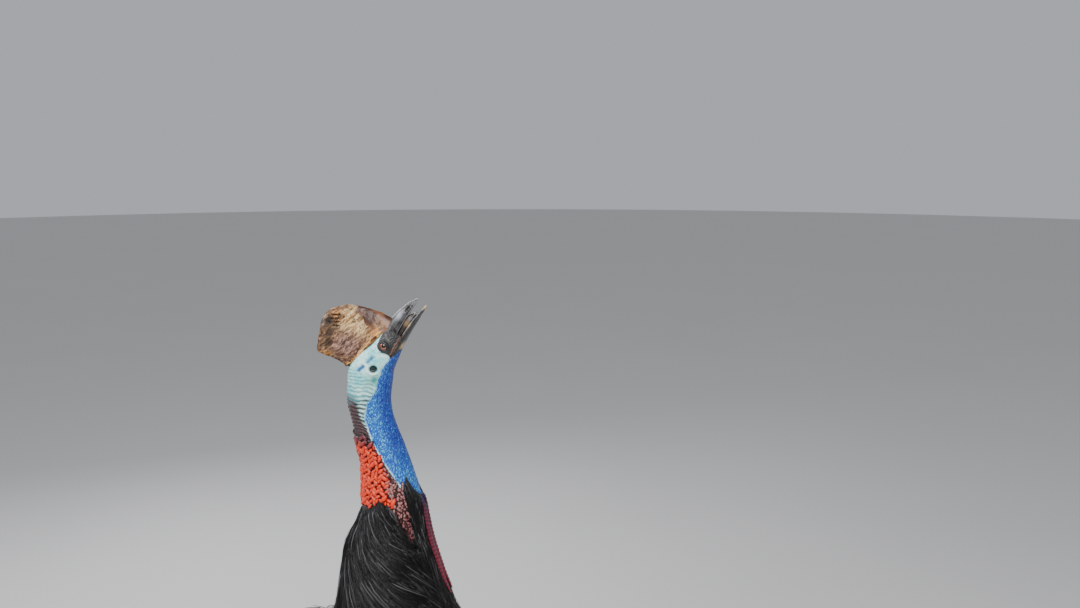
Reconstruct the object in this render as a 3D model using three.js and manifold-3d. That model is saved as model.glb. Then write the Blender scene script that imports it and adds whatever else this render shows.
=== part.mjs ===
// A life-size southern cassowary, Casuarius casuarius, standing on both feet and stretching
// its neck up, with the head tipped back and the bill a little open.
// Millimetres. +X is the way the bird faces, +Y its left, +Z up, and the floor is z = 0.
import * as THREE from "three";
import { mergeVertices } from "three/addons/utils/BufferGeometryUtils.js";
import Module from "manifold-3d";

const wasm = await Module();
wasm.setup();

// Driving dimensions
const HEAD_HEIGHT = 1590;
const HEAD_RISE = THREE.MathUtils.degToRad(54);
const BILL_REACH = 122;
const EYE = { along: 9, up: -1.4, apart: 18.5, radius: 14 };
const BODY_CENTRE = new THREE.Vector3(-175, 0, 785);
const BODY_RISE = THREE.MathUtils.degToRad(22);
const FOOT_APART = 108;
const TARSUS_RADIUS = 23;
const GAP = 0.35;
const SIDES = { left: 1, right: -1 };

// Where the neck is parted, from the head down
const CUT = { head: 1524, upper: 1450, middle: 1382, lower: 1258, base: 1092 };

// Small helpers

function randomFrom(seed) {
  let state = seed;
  return (low, high) => {
    state = (state * 1664525 + 1013904223) % 4294967296;
    return low + (high - low) * (state / 4294967296);
  };
}

// A smooth value between stations, each { at, ... }, through every station's own value.
function between(stations, at, key) {
  const next = stations.findIndex((station) => station.at >= at);
  if (next === -1) return stations.at(-1)[key];
  if (next === 0) return stations[0][key];
  const slope = (i) => {
    const before = stations[Math.max(0, i - 1)];
    const after = stations[Math.min(stations.length - 1, i + 1)];
    return (after[key] - before[key]) / (after.at - before.at);
  };
  const [p, q] = [stations[next - 1], stations[next]];
  const span = q.at - p.at;
  const t = (at - p.at) / span;
  const rise = t * t * (3 - 2 * t);
  return (
    p[key] * (1 - rise) +
    q[key] * rise +
    slope(next - 1) * span * t * (1 - t) * (1 - t) -
    slope(next) * span * t * t * (1 - t)
  );
}

function spread(low, high, count) {
  return Array.from({ length: count }, (_, i) => low + ((high - low) * i) / Math.max(1, count - 1));
}

// Solids

function solid(geometry) {
  const bare = geometry.clone();
  bare.deleteAttribute("normal");
  bare.deleteAttribute("uv");
  const merged = mergeVertices(bare, 1e-3);
  const build = (triangles) =>
    new wasm.Manifold(
      new wasm.Mesh({
        numProp: 3,
        vertProperties: merged.attributes.position.array,
        triVerts: triangles,
      }),
    );
  const triangles = new Uint32Array(merged.index.array);
  const made = build(triangles);
  if (made.volume() > 0) return made;
  for (let i = 0; i < triangles.length; i += 3) {
    [triangles[i + 1], triangles[i + 2]] = [triangles[i + 2], triangles[i + 1]];
  }
  return build(triangles);
}

// A closed skin over rings of points, each end drawn to its ring's middle or to a given tip.
function loft(rings, startTip, endTip) {
  const count = rings[0].length;
  const points = rings.flat();
  const middle = (ring) =>
    ring.reduce((sum, p) => sum.add(p), new THREE.Vector3()).divideScalar(ring.length);
  const start = points.push(startTip ?? middle(rings[0])) - 1;
  const end = points.push(endTip ?? middle(rings.at(-1))) - 1;
  const index = [];
  const last = (rings.length - 1) * count;
  for (let j = 0; j < count; j += 1) {
    const k = (j + 1) % count;
    for (let i = 0; i < last; i += count) {
      const [a, b, c, d] = [i + j, i + k, i + count + k, i + count + j];
      index.push(...(j % 2 ? [a, b, c, a, c, d] : [a, b, d, b, c, d]));
    }
    index.push(start, k, j, end, last + j, last + k);
  }
  const geometry = new THREE.BufferGeometry().setFromPoints(points);
  geometry.setIndex(index);
  return solid(geometry);
}

function placed(geometry, position, forward, up, size) {
  const x = forward.clone().normalize();
  const z = up.clone().addScaledVector(x, -up.dot(x)).normalize();
  const y = new THREE.Vector3().crossVectors(z, x);
  const matrix = new THREE.Matrix4().makeBasis(x, y, z);
  matrix.scale(size).setPosition(position);
  return solid(geometry.clone().applyMatrix4(matrix));
}

function slab(low, high) {
  const box = new THREE.BoxGeometry(2400, 2400, high - low);
  return solid(box.translate(0, 0, (low + high) / 2));
}

function joined(solids) {
  return wasm.Manifold.union(solids);
}

// What is left of a solid after cuts: its largest closed surface.
function largest(made) {
  return made.decompose().reduce((a, b) => (a.volume() > b.volume() ? a : b));
}

function meshOf(name, made, material) {
  const { vertProperties, triVerts, numProp, numVert } = largest(made).getMesh();
  const positions = new Float32Array(numVert * 3);
  for (let i = 0; i < numVert; i += 1) {
    positions.set(vertProperties.subarray(i * numProp, i * numProp + 3), i * 3);
  }
  const geometry = new THREE.BufferGeometry();
  geometry.setAttribute("position", new THREE.BufferAttribute(positions, 3));
  geometry.setIndex(new THREE.BufferAttribute(new Uint32Array(triVerts), 1));
  geometry.computeVertexNormals();
  const mesh = new THREE.Mesh(geometry, material);
  mesh.name = name;
  return mesh;
}

// Materials

const finish = (color, roughness) => new THREE.MeshStandardMaterial({ color, roughness, metalness: 0 });
const PLUMAGE = finish(0x0b0b0d, 0.5);
const FACE_SKIN = finish(0x8fc9cc, 0.5);
const NECK_SKIN = finish(0x1f6fc4, 0.5);
const NAPE_SKIN = finish(0xc8402a, 0.5);
const WATTLE_SKIN = finish(0x9c1438, 0.45);
const CASQUE_HORN = finish(0x8a6a4c, 0.55);
const BILL_HORN = finish(0x1d1b1c, 0.4);
const LEG_SCALE = finish(0x55503f, 0.6);
const CLAW_HORN = finish(0x24201d, 0.4);
const QUILL_HORN = finish(0x151412, 0.45);
const EYEBALL = finish(0x5a2a12, 0.15);

// Head frame: along the bill, and up from it, with its origin between the eyes and the ears.

function headPoint(along, up, y) {
  return new THREE.Vector3(
    along * Math.cos(HEAD_RISE) - up * Math.sin(HEAD_RISE),
    y,
    HEAD_HEIGHT + along * Math.sin(HEAD_RISE) + up * Math.cos(HEAD_RISE),
  );
}

const HEAD_FORWARD = new THREE.Vector3(Math.cos(HEAD_RISE), 0, Math.sin(HEAD_RISE));
const HEAD_UP = new THREE.Vector3(-Math.sin(HEAD_RISE), 0, Math.cos(HEAD_RISE));
const LEFTWARD = new THREE.Vector3(0, 1, 0);

// A ring across the head frame, from its top to its bottom, fuller than an ellipse above 2.
function headRing(station, grow, sides, fullness) {
  const { along, top, bottom, wide } = station;
  return spread(0, Math.PI * 2, sides + 1)
    .slice(0, -1)
    .map((angle) => {
      const c = Math.cos(angle);
      const s = Math.sin(angle);
      const size = (Math.abs(c) ** fullness + Math.abs(s) ** fullness) ** (-1 / fullness);
      const half = (top - bottom) / 2 + grow;
      return headPoint(along, (top + bottom) / 2 + half * c * size, (wide + grow) * s * size);
    });
}

function headLoft(stations, ends, { count = 8, sides = 12, grow = 0, fullness = 2.2 } = {}) {
  const rings = spread(ends[0] - grow, ends[1] + grow, count).map((at) =>
    headRing(
      {
        along: at,
        top: between(stations, at, "top"),
        bottom: between(stations, at, "bottom"),
        wide: between(stations, at, "wide"),
      },
      grow,
      sides,
      fullness,
    ),
  );
  return loft(rings);
}

const SKULL = [
  { at: -95, top: 20, bottom: -46, wide: 29 },
  { at: -75, top: 31, bottom: -56, wide: 33 },
  { at: -50, top: 35, bottom: -54, wide: 36 },
  { at: -25, top: 34, bottom: -44, wide: 35 },
  { at: 0, top: 28, bottom: -38, wide: 30.5 },
  { at: 20, top: 23, bottom: -33, wide: 24.5 },
  { at: 40, top: 18, bottom: -29, wide: 19.5 },
];

const SKULL_ENDS = [SKULL[0].at, SKULL.at(-1).at];

// The mouth: a wedge between the jaws' cutting edges, from the corner of the gape out to the parted tips
const MOUTH = [
  { at: -10, upper: -20.1, lower: -21.4 },
  { at: 15, upper: -13.5, lower: -19.6 },
  { at: 40, upper: -8.6, lower: -17.8 },
  { at: 65, upper: -5.8, lower: -16.4 },
  { at: 90, upper: -4, lower: -17 },
  { at: 142, upper: -1.6, lower: -22.6 },
];
const UPPER_BILL_START = 36;
const LOWER_BILL_START = 10;

function mouthWedge() {
  const shape = new THREE.Shape();
  shape.moveTo(MOUTH[0].at, MOUTH[0].lower);
  MOUTH.slice(1).forEach(({ at, lower }) => shape.lineTo(at, lower));
  MOUTH.toReversed().forEach(({ at, upper }) => shape.lineTo(at, upper));
  const prism = new THREE.ExtrudeGeometry(shape, { depth: 120, bevelEnabled: false });
  prism.translate(0, 0, -60);
  const toHead = new THREE.Matrix4().makeBasis(HEAD_FORWARD, HEAD_UP, LEFTWARD.clone().negate());
  toHead.setPosition(0, 0, HEAD_HEIGHT);
  return solid(prism.applyMatrix4(toHead));
}

// Everything forward of a plane across the bill, above or below the mouth
function aheadOf(along, up, height) {
  const box = new THREE.BoxGeometry(200, 200, height);
  return placed(box, headPoint(along + 100, up, 0), HEAD_FORWARD, HEAD_UP, new THREE.Vector3(1, 1, 1));
}

function eyeball(side, grow) {
  const ball = new THREE.SphereGeometry(EYE.radius + grow, 12, 6);
  const { x, y, z } = headPoint(EYE.along, EYE.up, side * EYE.apart);
  return solid(ball.translate(x, y, z));
}

function ringOn(along, up, y, radius, tube, stretch) {
  const ring = new THREE.TorusGeometry(radius, tube, 4, 9);
  const out = new THREE.Vector3(0, Math.sign(y), 0);
  return placed(ring, headPoint(along, up, y), HEAD_FORWARD, out, stretch);
}

// Neck: level rings, from the back of the skull down into the breast.
// back and front are the outline's own places; coat is half the depth of the feathers there.
const NECK = [
  { at: 860, back: -120, front: 110, wide: 110, coat: 30 },
  { at: 960, back: -142, front: 176, wide: 150, coat: 30 },
  { at: 1030, back: -132, front: 153, wide: 132, coat: 28 },
  { at: 1070, back: -118, front: 140, wide: 118, coat: 24 },
  { at: 1108, back: -110, front: 123, wide: 105, coat: 20 },
  { at: 1187, back: -92, front: 96, wide: 82, coat: 13 },
  { at: 1236, back: -64, front: 84, wide: 65, coat: 7 },
  { at: 1265, back: -52, front: 77, wide: 57, coat: 2 },
  { at: 1298, back: -48, front: 66, wide: 51, coat: 0 },
  { at: 1350, back: -48, front: 51, wide: 43, coat: 0 },
  { at: 1394, back: -57, front: 36, wide: 38, coat: 0 },
  { at: 1445, back: -68, front: 18, wide: 35, coat: 0 },
  { at: 1478, back: -75, front: 13, wide: 34, coat: 0 },
  { at: 1511, back: -74, front: 15, wide: 35, coat: 0 },
  { at: 1545, back: -66, front: 14, wide: 32, coat: 0 },
];
const FOLD_PITCH = 13;
const FOLD_DEPTH = 1.8;
const FOLDS = { first: 107, last: 117 };
const NECK_SIDES = 12;

// A point of the neck's core. angle 0 is the throat, and half a turn the nape.
function neckPoint(z, angle, grow = 0) {
  const coat = between(NECK, z, "coat");
  const back = between(NECK, z, "back");
  const front = between(NECK, z, "front");
  const depth = (front - back) / 2 - coat + grow;
  const wide = between(NECK, z, "wide") - coat + grow;
  const nape = THREE.MathUtils.smoothstep(-Math.cos(angle), -0.3, 0.5);
  const folded = z > CUT.middle - 8 && z < CUT.head ? nape * FOLD_DEPTH : 0;
  const fold = folded * Math.cos((z * Math.PI * 2) / FOLD_PITCH);
  return new THREE.Vector3(
    (front + back) / 2 + (depth + fold) * Math.cos(angle),
    (wide + fold) * Math.sin(angle),
    z,
  );
}

function neckLoft(grow = 0) {
  const feathered = spread(870, CUT.lower, 10);
  const bare = spread(CUT.lower + 20, CUT.middle - 8, 5);
  const folds = spread(FOLD_PITCH * FOLDS.first, FOLD_PITCH * FOLDS.last, 2 * (FOLDS.last - FOLDS.first) + 1);
  const rings = [...feathered, ...bare, ...folds, CUT.head + 20].map((z) =>
    spread(0, Math.PI * 2, NECK_SIDES + 1)
      .slice(0, -1)
      .map((angle) => neckPoint(z, angle, grow)),
  );
  return loft(rings);
}

// Body: rings across an axis that rises to the breast.
// over, under and wide reach to the feathers' tips, and the core lies COAT inside them.
const COAT = 28;
const BODY = [
  { at: -410, over: 34, under: 60, wide: 56 },
  { at: -370, over: 112, under: 150, wide: 130 },
  { at: -280, over: 176, under: 222, wide: 188 },
  { at: -140, over: 220, under: 268, wide: 218 },
  { at: 0, over: 232, under: 268, wide: 224 },
  { at: 140, over: 216, under: 236, wide: 212 },
  { at: 260, over: 176, under: 184, wide: 178 },
  { at: 345, over: 116, under: 116, wide: 120 },
  { at: 382, over: 48, under: 52, wide: 54 },
];
const BODY_FORWARD = new THREE.Vector3(Math.cos(BODY_RISE), 0, Math.sin(BODY_RISE));
const BODY_UP = new THREE.Vector3(-Math.sin(BODY_RISE), 0, Math.cos(BODY_RISE));

function bodySize(along) {
  return {
    over: between(BODY, along, "over") - COAT,
    under: between(BODY, along, "under") - COAT,
    wide: between(BODY, along, "wide") - COAT,
  };
}

function bodyPoint(along, up, y) {
  return BODY_CENTRE.clone()
    .addScaledVector(BODY_FORWARD, along)
    .addScaledVector(BODY_UP, up)
    .addScaledVector(LEFTWARD, y);
}

// A point of the body's core. angle 0 is the back, and half a turn the belly.
function bodySkin(along, angle, grow = 0) {
  const { over, under, wide } = bodySize(along);
  const high = (Math.cos(angle) > 0 ? over : under) + grow;
  return bodyPoint(along, high * Math.cos(angle), (wide + grow) * Math.sin(angle));
}

function bodyLoft(grow = 0) {
  const rings = spread(BODY[0].at, BODY.at(-1).at, 13).map((along) =>
    spread(0, Math.PI * 2, 17)
      .slice(0, -1)
      .map((angle) => bodySkin(along, angle, grow)),
  );
  return loft(rings, bodyPoint(BODY[0].at - 8 - grow, 0, 0), bodyPoint(BODY.at(-1).at + 8 + grow, 0, 0));
}

// Lies over the body's core: how far a point stands off it, and which way is out.
function offBody(point) {
  const from = point.clone().sub(BODY_CENTRE);
  const along = THREE.MathUtils.clamp(from.dot(BODY_FORWARD), BODY[0].at + 20, BODY.at(-1).at - 20);
  const up = from.dot(BODY_UP);
  const { over, under, wide } = bodySize(along);
  const high = up > 0 ? over : under;
  const share = Math.hypot(up / high, point.y / wide);
  const reach = Math.hypot(up, point.y);
  const slope = (bodySize(along - 20).over - bodySize(along + 20).over) / 40;
  const taper = THREE.MathUtils.clamp(slope, -0.5, 0.5);
  const out = BODY_UP.clone()
    .multiplyScalar(up / high ** 2)
    .addScaledVector(LEFTWARD, point.y / wide ** 2)
    .normalize()
    .addScaledVector(BODY_FORWARD, taper)
    .normalize();
  return { height: (1 - 1 / share) * reach, out };
}

function offNeck(point) {
  const z = point.z;
  if (z < 985) return { height: 1e3, out: LEFTWARD.clone() };
  const rim = neckPoint(z, 0);
  const back = neckPoint(z, Math.PI);
  const middle = (rim.x + back.x) / 2;
  const depth = (rim.x - back.x) / 2;
  const wide = neckPoint(z, Math.PI / 2).y;
  const share = Math.hypot((point.x - middle) / depth, point.y / wide);
  const reach = Math.hypot(point.x - middle, point.y);
  const flare = (neckPoint(z - 10, 0).x - neckPoint(z + 10, 0).x) / 20;
  const out = new THREE.Vector3((point.x - middle) / depth ** 2, point.y / wide ** 2, 0)
    .normalize()
    .setZ(flare)
    .normalize();
  return { height: (1 - 1 / share) * reach, out };
}

function offCoat(point) {
  const body = offBody(point);
  const neck = offNeck(point);
  return body.height < neck.height ? body : neck;
}

// Feathers: flat, tapered locks that follow a surface from the root and droop off it.
const GRAVITY = new THREE.Vector3(0, 0, -1);

function strand(root, lie, { length, lift, droop, steps, off, sink }) {
  const step = length / steps;
  const first = off(root);
  const path = [{ at: root.clone().addScaledVector(first.out, -sink), out: first.out }];
  const heading = lie.clone().normalize();
  let at = root.clone().addScaledVector(heading, -sink * 0.5);
  for (let i = 1; i <= steps; i += 1) {
    const share = i / steps;
    const next = at.clone().addScaledVector(heading, step);
    const { height, out } = off(next);
    const wanted = lift * (0.22 + 0.78 * share);
    if (height < wanted) next.addScaledVector(out, wanted - height);
    path.push({ at: next, out });
    heading.copy(next).sub(at).normalize().addScaledVector(GRAVITY, droop).normalize();
    at = next;
  }
  return path;
}

const VANE = [0.62, 0.96, 1, 0.86, 0.6, 0.4];

function vane(path, wide, thick, grow = 0) {
  let last;
  const rings = path.slice(0, -1).map(({ at, out }, i) => {
    const ahead = path[i + 1].at.clone().sub(at).normalize();
    const side = new THREE.Vector3().crossVectors(out, ahead).normalize();
    if (last) side.lerp(last, side.dot(last) > 0.3 ? 0.35 : 1);
    side.addScaledVector(ahead, -side.dot(ahead)).normalize();
    last = side;
    const up = new THREE.Vector3().crossVectors(ahead, side);
    const half = (wide / 2) * VANE[Math.min(i, VANE.length - 1)] + grow * 10;
    const high = thick * (1 - 0.08 * i);
    return [
      at.clone().addScaledVector(side, -half),
      at.clone().addScaledVector(up, -0.35 * high - grow * 2),
      at.clone().addScaledVector(side, half),
      at.clone().addScaledVector(up, 0.65 * high + grow * 2),
    ];
  });
  const tip = path.at(-1);
  const beyond = tip.at.clone().sub(path.at(-2).at).normalize();
  return loft(rings, undefined, tip.at.clone().addScaledVector(beyond, grow * 8));
}

// Body feathers: tiers from the back's parting down each flank
const TIERS = [
  { angle: 15, length: 235, wide: 92, count: 6, from: -345, to: 175, back: 1, down: 0.42 },
  { angle: 47, length: 230, wide: 86, count: 7, from: -325, to: 240, back: 0.62, down: 0.9 },
  { angle: 80, length: 200, wide: 88, count: 7, from: -320, to: 290, back: 0.4, down: 1.1 },
  { angle: 108, length: 160, wide: 94, count: 5, from: -270, to: 270, back: 0.3, down: 1.2 },
];
const BREAST = [
  { angle: 26, length: 200, wide: 76, count: 1, from: 334, to: 334, back: 0, down: 0 },
  { angle: 100, length: 170, wide: 84, count: 1, from: 340, to: 340, back: 0, down: 0 },
];

function bodyLocks(grow = 0) {
  const random = randomFrom(7);
  return [...TIERS, ...BREAST].flatMap((tier, row) =>
    spread(tier.from, tier.to, tier.count).flatMap((place) => {
      const along = place + random(-5, 5) + (row % 2) * 18;
      const turn = THREE.MathUtils.degToRad(tier.angle + random(-3, 3));
      const length = tier.length * random(0.9, 1.1);
      const wide = tier.wide * random(0.92, 1.08);
      return Object.values(SIDES).map((side) => {
        const root = bodySkin(along, turn * side);
        const down = bodySkin(along, (turn + 0.05) * side).sub(root).normalize();
        const lie = BODY_FORWARD.clone().multiplyScalar(-tier.back).addScaledVector(down, tier.down);
        lie.addScaledVector(GRAVITY, 0.3);
        const path = strand(root, lie, {
          length,
          lift: COAT - 8,
          droop: 0.24,
          steps: 4,
          off: offCoat,
          sink: 14,
        });
        return vane(path, wide, 5.5, grow);
      });
    }),
  );
}

// The whole neck and skull, parted by level cuts
const neckCore = neckLoft();
const skull = headLoft(SKULL, SKULL_ENDS);
const headAndNeck = joined([skull, neckCore]);

function neckPiece(high, low) {
  return headAndNeck.intersect(slab(low + GAP / 2, high - GAP / 2));
}

// Casque: a keeled blade of horn that rises behind the bill
const CASQUE = [
  { at: 4, from: -60, to: 60, wide: 23 },
  { at: 20, from: -70, to: 59, wide: 23 },
  { at: 45, from: -76, to: 55.5, wide: 20.5 },
  { at: 70, from: -80, to: 47, wide: 17 },
  { at: 90, from: -83.5, to: 38.5, wide: 14.5 },
  { at: 105, from: -80, to: 29, wide: 12.5 },
  { at: 118, from: -62, to: 17, wide: 10.5 },
  { at: 127, from: -40, to: 5, wide: 8 },
  { at: 132, from: -27, to: -8, wide: 4 },
];

function casque(grow = 0) {
  const rings = spread(CASQUE[0].at, CASQUE.at(-1).at, 10).map((up) => {
    const from = between(CASQUE, up, "from") - grow;
    const to = between(CASQUE, up, "to") + grow;
    const wide = between(CASQUE, up, "wide") + grow;
    return spread(0, Math.PI * 2, 15)
      .slice(0, -1)
      .map((angle) => {
        const c = Math.cos(angle);
        const keel = c > 0 ? 1 - 0.28 * c : 1;
        return headPoint((from + to) / 2 + ((to - from) / 2) * c, up, wide * Math.sin(angle) * keel);
      });
  });
  return loft(rings);
}

// Bill
const UPPER_BILL = [
  { at: UPPER_BILL_START, top: 18, bottom: -15, wide: 19.5 },
  { at: 58, top: 18.8, bottom: -12.5, wide: 16 },
  { at: 80, top: 16, bottom: -11, wide: 12.5 },
  { at: 100, top: 10.2, bottom: -8.5, wide: 9.5 },
  { at: 114, top: 4.8, bottom: -5.5, wide: 6 },
  { at: 122, top: 1, bottom: -2.8, wide: 2 },
];
const LOWER_BILL = [
  { at: LOWER_BILL_START, top: -15, bottom: -33.5, wide: 22 },
  { at: 36, top: -13.5, bottom: -30, wide: 18 },
  { at: 70, top: -12.5, bottom: -26.5, wide: 13 },
  { at: 100, top: -14.5, bottom: -25, wide: 8.5 },
  { at: 116, top: -18, bottom: -24.4, wide: 4.5 },
  { at: 121, top: -19.8, bottom: -22.8, wide: 1.8 },
];

const NOSTRIL = { along: 92, up: 4.6, apart: 11, size: new THREE.Vector3(7, 3.6, 2) };

function bills() {
  const wedge = mouthWedge();
  const slit = new THREE.IcosahedronGeometry(1, 0);
  const nostrils = Object.values(SIDES).map((side) => {
    const { along, up, apart, size } = NOSTRIL;
    return placed(slit, headPoint(along, up, side * apart), HEAD_FORWARD, HEAD_UP, size);
  });
  const upperEnds = [UPPER_BILL_START + GAP, BILL_REACH];
  const lowerEnds = [LOWER_BILL_START + GAP, BILL_REACH - 1];
  const upper = headLoft(UPPER_BILL, upperEnds, { count: 7, fullness: 1.9 });
  const lower = headLoft(LOWER_BILL, lowerEnds, { count: 6, sides: 10, fullness: 2 });
  return {
    upper: upper.subtract(wedge).subtract(joined(nostrils)),
    lower: lower.subtract(wedge),
  };
}

const LID = { apart: 26.5, radius: 12.2, thick: 3.4, shape: new THREE.Vector3(1.06, 0.9, 1) };
const EAR = { along: -40, up: -12, apart: 33.6, radius: 10.6, thick: 2.6, shape: new THREE.Vector3(1.1, 0.9, 1) };
const EAR_HOLE = { apart: 37.5, size: new THREE.Vector3(10.4, 8, 9) };

function head() {
  const rims = Object.values(SIDES).flatMap((side) => [
    ringOn(EYE.along, EYE.up, side * LID.apart, LID.radius, LID.thick, LID.shape),
    ringOn(EAR.along, EAR.up, side * EAR.apart, EAR.radius, EAR.thick, EAR.shape),
  ]);
  const ears = Object.values(SIDES).map((side) => {
    const middle = headPoint(EAR.along, EAR.up, side * EAR_HOLE.apart);
    return placed(new THREE.IcosahedronGeometry(1, 0), middle, HEAD_FORWARD, LEFTWARD, EAR_HOLE.size);
  });
  const cuts = [
    ...ears,
    ...Object.values(SIDES).map((side) => eyeball(side, GAP)),
    mouthWedge(),
    aheadOf(UPPER_BILL_START, 60, 200),
    aheadOf(LOWER_BILL_START, between(MOUTH, 40, "lower") - 99.5, 200),
  ];
  return joined([neckPiece(1700, CUT.head), ...rims]).subtract(joined(cuts));
}

// Wattles: two limp lobes from the foot of the bare throat, lying on the breast
const WATTLE = { length: 236, wide: 28, thick: 10, apart: 19, spread: 12, root: 1302 };

function wattle(side, grow = 0) {
  const rings = spread(0, 1, 7).map((share) => {
    const z = WATTLE.root - WATTLE.length * 0.945 * share;
    const flare = (neckPoint(z - 10, 0).x - neckPoint(z + 10, 0).x) / 20;
    const angle = side * Math.asin((WATTLE.apart + WATTLE.spread * share) / neckPoint(z, Math.PI / 2).y);
    const out = new THREE.Vector3(Math.cos(angle), Math.sin(angle), flare).normalize();
    const down = new THREE.Vector3(flare, 0, -1).normalize();
    const across = new THREE.Vector3().crossVectors(down, out).normalize();
    const lift = between(NECK, z, "coat") + 1 + WATTLE.thick * 0.2 - (share === 0 ? 8 : 0);
    const middle = neckPoint(z, angle).addScaledVector(out, lift);
    const swell = Math.sin(Math.PI * Math.min(1, 0.25 + share * 0.72)) ** 0.5;
    const wide = (WATTLE.wide / 2) * (0.62 + 0.38 * share) * swell + grow;
    const thick = (WATTLE.thick / 2) * swell + grow;
    return spread(0, Math.PI * 2, 9)
      .slice(0, -1)
      .map((turn) =>
        middle
          .clone()
          .addScaledVector(across, wide * Math.cos(turn))
          .addScaledVector(out, thick * Math.sin(turn))
          .addScaledVector(down, share < 1 ? 0 : grow),
      );
  });
  return loft(rings);
}

// Caruncles: red lumps in a braid down the nape, and smaller ones in a strip down each side
const BULB = new THREE.OctahedronGeometry(1.1, 0);

function bulb(z, angle, size, tilt) {
  const middle = neckPoint(z, angle);
  const out = middle.clone().sub(neckPoint(z, angle, -10)).normalize();
  const along = new THREE.Vector3(0, 0, 1).applyAxisAngle(out, tilt);
  const centre = middle.addScaledVector(out, size.z * 0.25);
  return placed(BULB, centre, along, out, size);
}

function napeBulbs() {
  const random = randomFrom(11);
  return spread(CUT.lower + 11, CUT.middle - 8, 6).flatMap((z, row) =>
    spread(-1, 1, 5).map((share) => {
      const reach = 1.55 - 0.05 * row;
      const angle = Math.PI + share * reach + (row % 2 ? 0.12 : -0.12);
      const size = new THREE.Vector3(12 * random(0.9, 1.1), 9.5, 6 * random(0.9, 1.15));
      return bulb(z + random(-1.5, 1.5), angle, size, (row % 2 ? 0.5 : -0.5) * Math.sign(share));
    }),
  );
}

function sideBulbs(low, high) {
  const random = randomFrom(23);
  return spread(0, 1, 9).flatMap((share) => {
    const z = 1302 - 122 * share;
    return Object.values(SIDES).map((side) => {
      const angle = side * (1.72 - 0.62 * share + random(-0.09, 0.09));
      const size = new THREE.Vector3(6, 4.4, 4.6).multiplyScalar(1.1 - 0.4 * share);
      return z > low + 6 && z < high - 6 ? bulb(z, angle, size, random(-0.4, 0.4)) : undefined;
    });
  }).filter(Boolean);
}

// The feathered foot of the neck
const COLLAR = [
  { z: 1238, length: 128, wide: 46, count: 8, lift: 11 },
  { z: 1164, length: 150, wide: 62, count: 9, lift: 20 },
];
const MANTLE = [{ z: 1076, length: 180, wide: 80, count: 7, lift: 25 }];

function collarLocks(tiers, grow = 0) {
  const random = randomFrom(31);
  return tiers.flatMap((tier, row) =>
    spread(0, Math.PI * 2, tier.count + 1)
      .slice(0, -1)
      .map((turn) => {
        const angle = turn + random(-0.03, 0.03) + (row % 2 ? Math.PI / tier.count : 0);
        const root = neckPoint(tier.z, angle);
        const side = Math.sin(angle);
        const lie = new THREE.Vector3(0.45 * Math.abs(side), 0, -1);
        const path = strand(root, lie, {
          length: tier.length * random(0.92, 1.08),
          lift: tier.lift,
          droop: 0.1,
          steps: 3,
          off: offCoat,
          sink: 9,
        });
        return vane(path, tier.wide, 4, grow);
      }),
  );
}

// Rump: a lobe of long feathers that hangs behind and hides the tail
const TAIL = [
  { at: 0, x: -430, z: 725, over: 92, wide: 104 },
  { at: 1, x: -486, z: 668, over: 92, wide: 102 },
  { at: 2, x: -524, z: 600, over: 76, wide: 88 },
  { at: 3, x: -543, z: 532, over: 44, wide: 56 },
];

function tailPoint(at, angle, grow = 0) {
  const x = between(TAIL, at, "x");
  const z = between(TAIL, at, "z");
  const ahead = new THREE.Vector3(
    between(TAIL, at + 0.1, "x") - between(TAIL, at - 0.1, "x"),
    0,
    between(TAIL, at + 0.1, "z") - between(TAIL, at - 0.1, "z"),
  ).normalize();
  const over = new THREE.Vector3().crossVectors(ahead, LEFTWARD).negate();
  return new THREE.Vector3(x, 0, z)
    .addScaledVector(over, (between(TAIL, at, "over") + grow) * Math.cos(angle))
    .addScaledVector(LEFTWARD, (between(TAIL, at, "wide") + grow) * Math.sin(angle));
}

function tailLoft(grow = 0) {
  const rings = spread(0, 3, 7).map((at) =>
    spread(0, Math.PI * 2, 17)
      .slice(0, -1)
      .map((angle) => tailPoint(at, angle, grow)),
  );
  const end = TAIL.at(-1);
  return loft(rings, undefined, new THREE.Vector3(end.x - 2, 0, end.z - end.over * 0.7 - grow));
}

const offTail = (point) => {
  const at = THREE.MathUtils.clamp((725 - point.z) / 64, 0, 3);
  const from = new THREE.Vector3(point.x - between(TAIL, at, "x"), point.y, 0);
  const size = (between(TAIL, at, "over") + between(TAIL, at, "wide")) / 2;
  return { height: from.length() - size, out: from.normalize() };
};

function tailLocks(grow = 0) {
  const random = randomFrom(41);
  return [
    { at: 1.1, length: 175, count: 7 },
    { at: 2.2, length: 130, count: 6 },
  ].flatMap((tier) =>
    spread(-1, 1, tier.count).map((share) => {
      const angle = share * 2.4;
      const root = tailPoint(tier.at, angle);
      const lie = new THREE.Vector3(-0.35 * Math.cos(angle), 0.12 * Math.sin(angle), -1);
      const path = strand(root, lie, {
        length: tier.length * random(0.9, 1.1),
        lift: 20,
        droop: 0.15,
        steps: 4,
        off: offTail,
        sink: 14,
      });
      return vane(path, 78, 5, grow);
    }),
  );
}

// Legs. The feathered thigh runs from the knee, hidden in the body, back down to the hock.
const KNEE = { x: -98, y: 118, z: 655 };
const HOCK = { x: -258, y: 110, z: 392 };
const SOLE = { x: -212, z: 34 };
const STRIDE = 34;

function stride(side) {
  return side > 0 ? -STRIDE : STRIDE;
}

function limbLoft(stations, sides, grow = 0) {
  const rings = stations.map(({ at, ahead, deep, wide, plate = 0 }) => {
    const across = LEFTWARD;
    const over = new THREE.Vector3().crossVectors(ahead, across).normalize();
    return spread(0, Math.PI * 2, sides + 1)
      .slice(0, -1)
      .map((angle) =>
        at
          .clone()
          .addScaledVector(over, (deep + grow - plate * Math.min(0, Math.cos(angle))) * Math.cos(angle))
          .addScaledVector(across, (wide + grow) * Math.sin(angle)),
      );
  });
  return loft(rings);
}

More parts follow.
